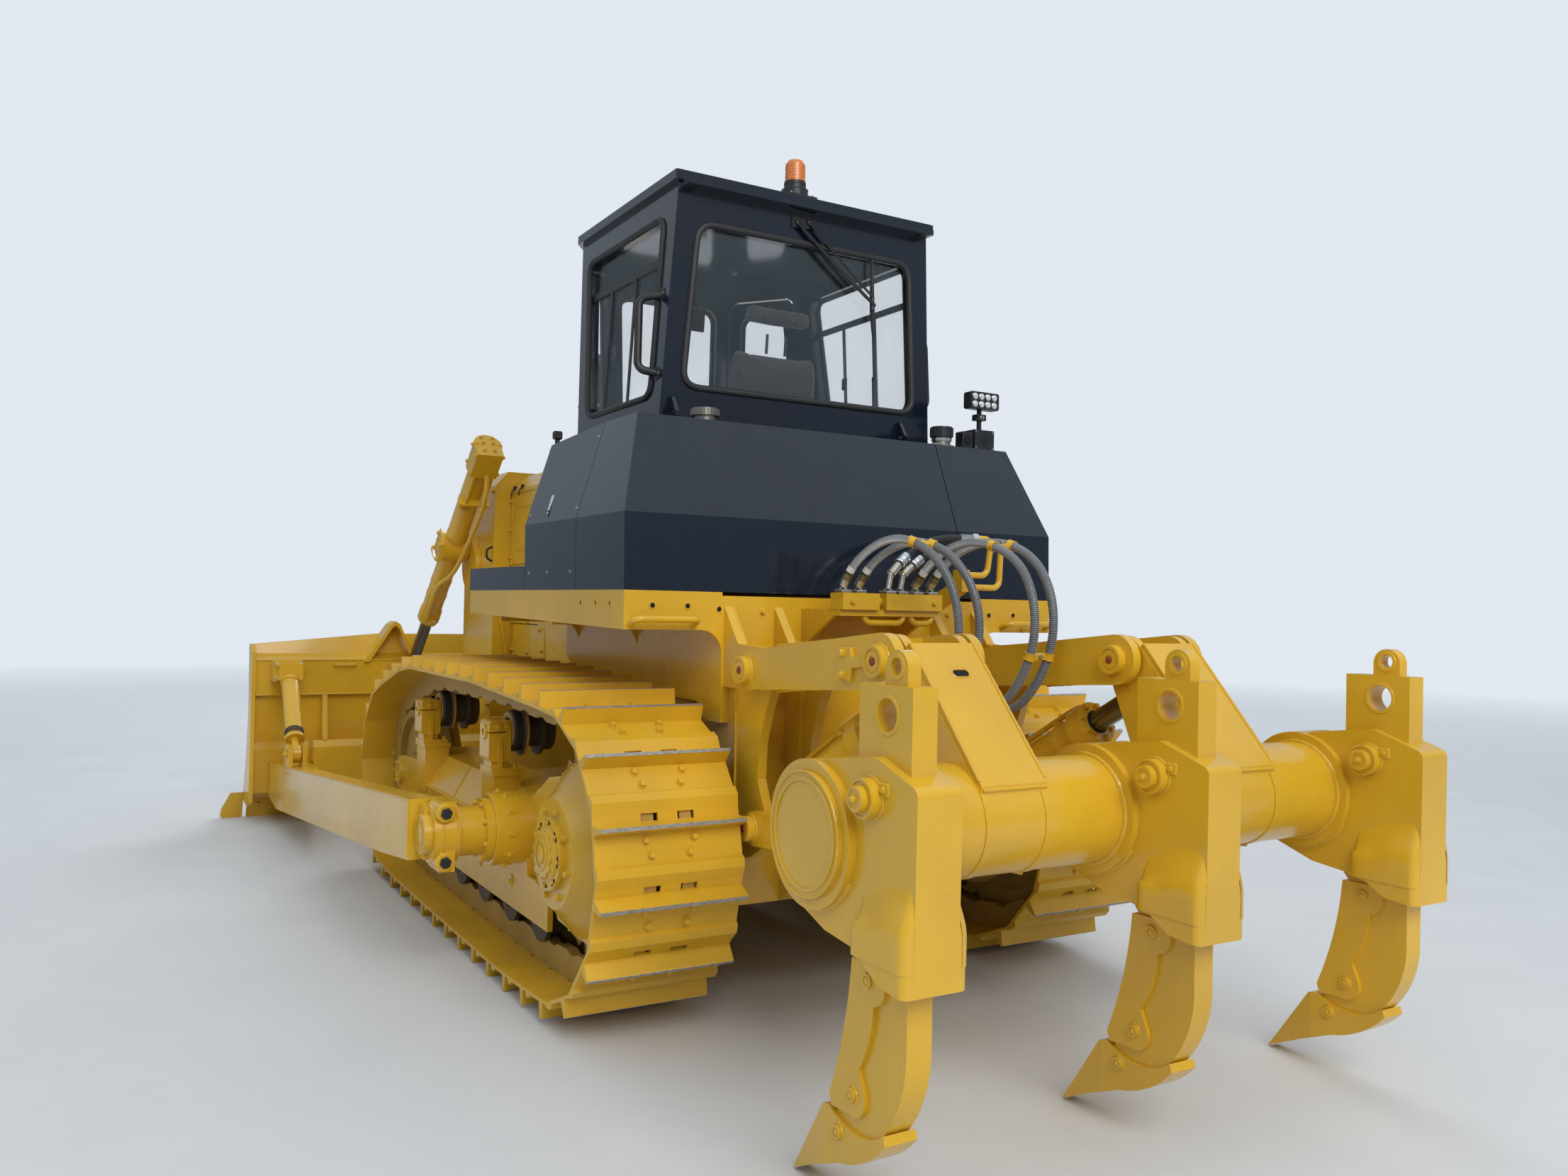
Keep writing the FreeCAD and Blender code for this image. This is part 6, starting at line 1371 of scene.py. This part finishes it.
def lift_cylinder(side, label):
    out = Vector((0, 1, 0))
    piece = Piece("lift_cylinder_" + label, "lift_barrel_" + label, "yellow", "steel", "rubber", "painted_shade", side=side)
    for h in (-78.0, 18.0):
        for s in (-890.0, -750.0):
            piece.bolt(lift(s, 798.0, h), out, 18.0)
            piece.bolt(lift(s, 642.0, h), -out, 18.0)
    for y in (690.0, 750.0):
        for h in (-50.0, 10.0):
            piece.bolt(lift(-915.0, y, h), -LIFT_WAY, 18.0)
    for y in (772.0, 668.0):
        piece.tube([lift(-735.0, y, -84.0), lift(-500.0, y, -92.0)], 13.0, 0, 12)
        piece.bolt(lift(-500.0, y, -92.0), LIFT_WAY, 20.0)
    piece.slab([lift(-507, 628, -50), lift(-507, 812, -50), lift(-507, 812, -112), lift(-507, 628, -112)],
               LIFT_WAY * 16.0, 0, 3.0)
    pipe = [(-745, 700, -80), (-690, 700, -150), (-560, 690, -175), (-300, 695, -165), (0, 700, -135),
            (150, 720, -125), (240, 770, -110), (330, 778, -100), (600, 770, -96), (665, 745, -75)]
    piece.tube(eased([lift(*p) for p in pipe], 5), 15.0, 0, 14)
    piece.slab([lift(90.0 * sx, 804.0, 70.0 * sh) for sx, sh in ((-1, -1), (1, -1), (1, 1), (-1, 1))], out * 8.0, 0, 4.0)
    piece.ring(lift(0, 812, 0), out, 60.0, 50.0, -1.0, 4.0)
    piece.lathe(lift(0, 812, 0), out, [(-1, 34), (5, 34), (8, 28), (9, 10)], 0, 32)
    for sx, sh in ((-1, -1), (1, -1), (1, 1), (-1, 1)):
        piece.bolt(lift(70.0 * sx, 812.0, 50.0 * sh), out, 22.0)
    hook = eased([lift(250, 724, 62), lift(270, 740, 110), lift(300, 760, 165), lift(285, 762, 235)], 6)
    piece.tube(hook, 11.0, 0, 10, flat=0.45)
    for s in (-430.0, -120.0, 330.0, 480.0):
        piece.ring(lift(s, 720, 0), LIFT_WAY, 67.0, 63.0, -14.0, 14.0)
    for s in (-430.0, 330.0):
        piece.block(lift(s, 760, -64) + Vector((-17, -22, -17)), lift(s, 760, -64) + Vector((17, 22, 17)))
        piece.bolt(lift(s, 782, -66), out, 15.0)
    for k in range(8):
        a = 2 * math.pi * (k + 0.5) / 8
        piece.bolt(lift(733.0, 720.0 + 57.0 * math.sin(a), 57.0 * math.cos(a)), LIFT_WAY, 17.0)
    piece.ring(lift(733, 720, 0), LIFT_WAY, 45.0, 38.8, -1.0, 8.0, 2)
    for k in range(6):
        a = 2 * math.pi * (k + 0.5) / 6
        piece.bolt(lift(-910.0, 720.0 + 66.0 * math.sin(a), 66.0 * math.cos(a)), -LIFT_WAY, 15.0)
    piece.done()
    rod = Piece("lift_rod_end_" + label, "lift_rod_" + label, "yellow", "steel", "red", side=side)
    for y, way in ((780.0, out), (660.0, -out)):
        rod.ring((LIFT_Q.x, y, LIFT_Q.z), way, 60.0, 50.0, -1.0, 2.5)
    rod.ring(LIFT_Q - LIFT_WAY * 60.0, -LIFT_WAY, 46.0, 38.3, -8.0, 14.0)
    rod.done()


# Hood, guard and grille

def bracket(piece, low, high, bolts, out, look=0):
    piece.block(low, high, look, 2.5)
    for place in bolts:
        piece.bolt(place, out, 15.0, look)


def hood_side(side, label):
    out = Vector((0, 1, 0))
    piece = Piece("hood_side_" + label, "chassis", "yellow", "painted_shade", "satin", "zinc", side=side)
    panel = [(2000, 480, 1790), (2905, 480, 1790), (2905, 480, 2220), (2000, 480, 2220)]
    piece.slab(panel, out * 2.5, 0, 1.6)
    # Dark line round the panel: painted shade in the gap.
    piece.tube(loop_of(panel, 8.0), 2.6, 1, 6, closed=True)
    lower = [(2000, 480, 1640), (2905, 480, 1640), (2905, 480, 1770), (2000, 480, 1770)]
    piece.slab(lower, out * 2.5, 0, 1.6)
    for z in (1876.0, 2134.0):
        piece.slab([(2080, 482, z), (2830, 482, z), (2830, 482, z + 14), (2080, 482, z + 14)], out * 6.0, 0, 5.0)
    piece.block((2895, 481, 1787), (2921, 488, 2217), 0, 2.5)
    for z in (1830.0, 2000.0, 2175.0):
        piece.bolt((2908.0, 488.0, z), out, 15.0)
    for x in (2060.0, 2748.0, 2890.0):
        piece.block((x - 16, 470, 2245), (x + 16, 486, 2272), 2, 4.0)
        piece.tube(eased([(x, 484, 2250), (x, 502, 2240), (x, 500, 2204)], 4), 5.0, 2, 8)
    handle = eased([(2960, 588, 1896), (2960, 622, 1886), (2960, 626, 1852), (2960, 622, 1818), (2960, 588, 1808)], 5)
    piece.tube(handle, 7.0, 2, 10)
    cover = [(2960, 462, 1488), (2549, 462, 1495), (2420, 462, 1470), (2358, 462, 1436), (2336, 462, 1360),
             (2322, 462, 1244), (2916, 462, 1231), (2916, 462, 1488)]
    piece.slab(cover[1:], out * 6.0, 0, 2.5)
    for x, z in ((2896, 1440), (2620, 1440), (2400, 1400), (2360, 1280), (2896, 1270), (2620, 1260)):
        piece.bolt((x, 468.0, z), out, 18.0)
    # Dark line along the cover: painted shade in the seam.
    piece.tube([(2440, 469, 1430), (2900, 469, 1430)], 2.5, 1, 6)
    piece.slab([(2922, 560, 1490), (2922, 545, 1490), (2922, 494, 1236), (2922, 512, 1236)], (-16, 0, 0), 0, 3.0)
    for x, z in ((2960, 2240), (3250, 2240), (3520, 2240), (2960, 930), (3250, 930), (3520, 930)):
        piece.bolt((x, 590.0, z), out, 24.0)
    for x, z, r in ((3370, 1905, 82), (3310, 1785, 152)):
        weld(piece, circle_y(x, 591.0, z, r + 14.0, 120.0, 250.0, 24), 5.0)
    piece.done()


def hood_top():
    piece = Piece("hood_top", "chassis", "yellow", "painted_shade", "satin", "zinc")
    # Dark strips across the hood: painted shade in the seams between its panels.
    for x in (2230.0, 2660.0):
        piece.slab([(x, -400, 2335), (x + 5, -400, 2335), (x + 5, 400, 2335), (x, 400, 2335)], (0, 0, 1.2), 1, 0.4)
    lid = [(2700, -260, 2335), (2890, -260, 2335), (2890, 260, 2335), (2700, 260, 2335)]
    piece.slab(lid, (0, 0, 5.0), 0, 2.5)
    for y in (-200.0, 0.0, 200.0):
        piece.bolt((2715.0, y, 2340.0), (0, 0, 1), 16.0)
        piece.bolt((2875.0, y, 2340.0), (0, 0, 1), 16.0)
    for y in (-330.0, 330.0):
        piece.tube(eased([(2320, y, 2334), (2320, y, 2362), (2340, y, 2372), (2440, y, 2372), (2460, y, 2362),
                          (2460, y, 2334)], 4), 9.0, 0, 10)
    for k in range(8):
        a = 2 * math.pi * k / 8
        piece.bolt((2480 + 72 * math.cos(a), 150 + 72 * math.sin(a), 2365.0), (0, 0, 1), 11.0, 3)
    for z in (2420.0, 2560.0, 2735.0):
        piece.ring((2480, 150, z), (0, 0, 1), 82.0, 77.0, -9.0, 9.0, 2)
        piece.block((2480 - 98, 150 - 9, z - 8), (2480 - 78, 150 + 9, z + 8), 3, 2.0)
    # Dark dots in rows: painted shade in the pre-cleaner screen's holes.
    for row in range(7):
        for k in range(22):
            a = 2 * math.pi * (k + 0.5 * (row % 2)) / 22
            z = 2590.0 + row * 18.0
            radial = Vector((math.cos(a), math.sin(a), 0))
            piece.lathe(Vector((2480, 150, z)) + radial * 78.0, radial, [(-1, 4.5), (0.6, 4.5), (0.8, 3)], 1, 8)
    for z in (2525.0, 2625.0):
        piece.ring((2120, -160, z), (0, 0, 1), 125.5, 121.0, -6.0, 6.0, 2)
    for k in range(40):
        a = 2 * math.pi * k / 40
        radial = Vector((math.cos(a), math.sin(a), 0))
        foot = Vector((2120, -160, 0)) + radial * 122.0
        piece.tube([foot + Vector((0, 0, 2538)), foot + Vector((0, 0, 2612))], 3.2, 2, 6)
    piece.lathe((2120, -160, 2674), (0, 0, 1), [(-1, 20), (5, 20), (9, 12)], 3, 6)
    piece.ring((2120, -160, 2360), (0, 0, 1), 76.0, 61.0, -25.0, -18.0, 2)
    piece.ring((2120, -160, 2470), (0, 0, 1), 66.0, 61.5, -8.0, 8.0, 3)
    piece.done()


def guard_front():
    piece = Piece("guard_front", "chassis", "yellow", "painted_shade", "zinc", "screen", "satin")
    for side in (1, -1):
        for k in range(7):
            piece.bolt((3550.0, side * 520.0, 1000.0 + k * 205.0), (1, 0, 0), 24.0)
        for z in (1240.0, 1475.0, 1710.0, 1945.0, 2180.0):
            piece.bolt((3538.0, side * 427.0, z), (1, 0, 0), 18.0, 4)
    for y in (-220.0, 0.0, 220.0):
        piece.bolt((3538.0, y, 2218.0), (1, 0, 0), 18.0, 4)
        piece.bolt((3538.0, y, 1202.0), (1, 0, 0), 18.0, 4)
    piece.tube(loop_of([(3549, -452, 1178), (3549, 452, 1178), (3549, 452, 2242), (3549, -452, 2242)], 14.0), 6.0, 0, 8,
               closed=True)
    weld(piece, [(3545, -588, 2268), (3545, -512, 2355)], 4.0)
    weld(piece, [(3545, 588, 2268), (3545, 512, 2355)], 4.0)
    for y in (-300.0, 300.0):
        piece.tube(eased([(3300, y, 2358), (3300, y, 2385), (3318, y, 2396), (3390, y, 2396), (3408, y, 2385),
                          (3408, y, 2358)], 4), 10.0, 0, 10)
    piece.done()
    screen = Piece("grille_screen", "chassis", "screen")
    screen.block((3486, -405, 1225), (3488, 405, 2195), 0, 0.5)
    screen.done()


# Blade

def blade_detail():
    piece = Piece("blade_detail", "blade", "yellow", "zinc", "satin")
    for k in range(22):
        y = -1640.0 + k * 3280.0 / 21
        piece.lathe((4963.5, y, 95.0), (0.933, 0, 0.36), [(-2, 17), (0.5, 17), (2.5, 13), (3.2, 6)], 0, 18)
        if abs(y) > 1340.0:
            piece.bolt((4937.0, y, 95.0), (-0.939, 0, -0.344), 27.0)
    for side in (1, -1):
        for y in (1775.0, 1830.0):
            piece.lathe((4975.0, side * y, 60.0), (0.933, 0, 0.36), [(-2, 16), (2.0, 16), (4.0, 11)], 0, 18)
        for z in (300.0, 520.0, 740.0, 960.0):
            weld(piece, [(4700, side * 1706, z), (4700, side * 1706, z + 200)], 6.0)
        for y in (430.0, 1250.0):
            weld(piece, [(4600, side * y + 15.0, 575), (4655, side * y + 15.0, 878)], 5.0)
            weld(piece, [(4600, side * y - 15.0, 575), (4655, side * y - 15.0, 878)], 5.0)
        for y in (608.0, 832.0):
            face = 1.0 if y > 720 else -1.0
            piece.ring((4480, side * y, 1000), (0, side * face, 0), 41.0, 31.0, -1.0, 3.0)
            piece.bolt((4480, side * y, 1000), (0, side * face, 0), 24.0)
        for y in (620.0, 820.0):
            weld(piece, [(4655, side * y, 905), (4655, side * y, 1095)], 6.0)
        for y in (1440.0, 1590.0):
            for z in (1005.0, 1100.0):
                piece.bolt((4480, side * y, z), (-1, 0, 0), 24.0, 1)
        handle = eased([(4640, side * 1050, 1090), (4606, side * 1050, 1090), (4600, side * 1060, 1090),
                        (4600, side * 1180, 1090), (4606, side * 1190, 1090), (4640, side * 1190, 1090)], 4)
        piece.tube([p + Vector((14, 0, 0)) for p in handle], 9.0, 0, 10)
    weld(piece, [(4654, -1700, 1124), (4654, 0, 1124), (4654, 1700, 1124)], 6.0)
    weld(piece, [(4654, -1700, 884), (4654, 0, 884), (4654, 1700, 884)], 6.0)
    piece.done()


def cad_moldboard(z):
    """Front of part.py's moldboard arc."""
    return 6064.25 - math.sqrt(1329.92 ** 2 - (z - 856.03) ** 2)


def moldboard_face():
    """Wear plate over the moldboard, a little flatter in its upper half, so that no lug or rib comes through it."""
    low, bend, knee, top = (4951.0, 131.0), (4737.0, 480.0), (4768.0, 740.0), (4836.0, 1306.0)
    front = []
    for k in range(19):
        t = k / 18
        front.append(tuple(a * (1 - t) ** 2 + b * 2 * t * (1 - t) + c * t * t for a, b, c in zip(low, bend, knee)))
    front += [tuple(a + (b - a) * k / 6 for a, b in zip(knee, top)) for k in range(1, 7)]
    piece = Piece("moldboard_face", "blade", "yellow")
    rings = []
    for y, crest in ((-1729.0, 1227.5), (-870.0, 1306.8), (870.0, 1306.8), (1729.0, 1227.5)):
        shrink = (crest - 131.0) / (1306.0 - 131.0)
        line = []
        for k in range(25):
            z = 131.0 + (front[k][1] - 131.0) * shrink
            across = next((a[0] + (b[0] - a[0]) * (z - a[1]) / (b[1] - a[1]) for a, b in zip(front, front[1:])
                           if a[1] <= z <= b[1]), top[0])
            line.append(Vector((across, y, z)))
        back = [Vector((cad_moldboard(p.z) - 8.0, y, p.z)) for p in reversed(line)]
        rings.append(line + back)
    piece.loft(rings)
    piece.done()


def brace_detail(side, label):
    out = Vector((0, 1, 0))
    piece = Piece("brace_detail_" + label, "blade", "yellow", "rubber", "steel", "red", side=side)
    low, high = Vector((3910.0, 1545.0, 560.0)), Vector((4478.0, 1515.0, 1060.0))
    way = (high - low).normalized()
    piece.ring(low + way * 132.0, way, 62.0, 54.0, -14.0, 12.0)
    for s, r in ((150.0, 58.0), (170.0, 60.5), (190.0, 58.0)):
        piece.ring(low + way * s, way, r, 54.0, -7.0, 7.0, 1)
    piece.ring(high - way * 110.0, way, 62.0, 54.0, -12.0, 12.0)
    for y, face in ((1612.0, out), (1480.0, -out)):
        piece.ring((3910, y, 560), face, 23.0, 15.0, -1.0, 3.0)
        piece.bolt((3910, y, 560), face, 14.0)
    piece.slab([(3860, 1600, 590), (3960, 1600, 590), (3960, 1600, 612), (3860, 1600, 612)], out * 6.0, 0, 2.0)
    weld(piece, [(3832, 1601, 443), (3988, 1601, 433)], 5.0)
    for z in (1010.0, 1100.0):
        piece.bolt((4430.0, 1590.0, z), out, 18.0)
    weld(piece, [(720, 1601, 742), (2600, 1601, 588), (4700, 1601, 408)], 4.0)
    weld(piece, [(705, 1601, 510), (705, 1601, 740)], 5.0)
    piece.done()


for front_side, front_label in ((1, "left"), (-1, "right")):
    lift_cylinder(front_side, front_label)
    hood_side(front_side, front_label)
    brace_detail(front_side, front_label)
hood_top()
guard_front()
blade_detail()
moldboard_face()


# Stage and lights

BACKDROP = (0.76, 0.81, 0.87)


def pale_floor():
    size = 60.0
    data = bpy.data.meshes.new("floor")
    data.from_pydata([(-size, -size, 0), (size, -size, 0), (size, size, 0), (-size, size, 0)], [], [(0, 1, 2, 3)])
    floor = bpy.data.objects.new("floor", data)
    bpy.context.scene.collection.objects.link(floor)
    m = Nodes("floor_pale")
    grit = m.noise(m.coords(), 1.6, 8.0, 0.6)
    m.surface(Base_Color=m.mix(grit, (0.60, 0.61, 0.63), (0.70, 0.71, 0.72)), Roughness=0.75)
    far = m.maths("MULTIPLY", m.add("ShaderNodeLightPath").outputs["Is Camera Ray"], m.ramp(m.away(), (0.22, 0.0), (0.62, 1.0)))
    haze = m.add("ShaderNodeEmission")
    haze.inputs["Color"].default_value = BACKDROP + (1.0,)
    m.over(far, haze.outputs[0])
    data.materials.append(m.material)


def area_light(name, place, target, size, power, colour=(1, 1, 1)):
    data = bpy.data.lights.new(name, "AREA")
    data.shape = "DISK"
    data.size = size
    data.energy = power
    data.color = colour
    lamp = bpy.data.objects.new(name, data)
    lamp.location = place
    lamp.rotation_euler = (Vector(target) - Vector(place)).to_track_quat("-Z", "Y").to_euler()
    bpy.context.scene.collection.objects.link(lamp)


def studio_light():
    """Sky for the light, brighter overhead than at the horizon, and a pale backdrop for what the camera and glass see.
    """
    world = bpy.data.worlds.new("world")
    world.use_nodes = True
    tree = world.node_tree
    sky = tree.nodes["Background"]
    where = tree.nodes.new("ShaderNodeTexCoord")
    split = tree.nodes.new("ShaderNodeSeparateXYZ")
    height = tree.nodes.new("ShaderNodeValToRGB")
    height.color_ramp.elements[0].color = (0.24, 0.28, 0.34, 1.0)
    height.color_ramp.elements[1].color = (0.84, 0.93, 1.0, 1.0)
    height.color_ramp.elements[1].position = 0.75
    tree.links.new(where.outputs["Generated"], split.inputs[0])
    tree.links.new(split.outputs["Z"], height.inputs["Fac"])
    tree.links.new(height.outputs["Color"], sky.inputs["Color"])
    sky.inputs["Strength"].default_value = 0.80
    pale = tree.nodes.new("ShaderNodeBackground")
    pale.inputs["Color"].default_value = BACKDROP + (1.0,)
    pale.inputs["Strength"].default_value = 1.0
    ray = tree.nodes.new("ShaderNodeLightPath")
    both = tree.nodes.new("ShaderNodeMath")
    both.operation = "MAXIMUM"
    tree.links.new(ray.outputs["Is Camera Ray"], both.inputs[0])
    tree.links.new(ray.outputs["Is Transmission Ray"], both.inputs[1])
    blend = tree.nodes.new("ShaderNodeMixShader")
    tree.links.new(both.outputs[0], blend.inputs[0])
    tree.links.new(sky.outputs[0], blend.inputs[1])
    tree.links.new(pale.outputs[0], blend.inputs[2])
    tree.links.new(blend.outputs[0], tree.nodes["World Output"].inputs["Surface"])
    bpy.context.scene.world = world
    area_light("key", (-12.0, 2.0, 8.5), (-1.0, 0.0, 1.2), 8.0, 880.0, (1.0, 0.97, 0.92))
    area_light("fill", (-1.0, 12.0, 9.0), (-1.0, 0.0, 1.2), 9.0, 90.0, (0.92, 0.96, 1.0))
    area_light("front", (11.0, -6.0, 8.0), (1.0, 0.0, 1.2), 8.0, 600.0)


pale_floor()
studio_light()
bpy.context.scene.view_settings.view_transform = "Standard"
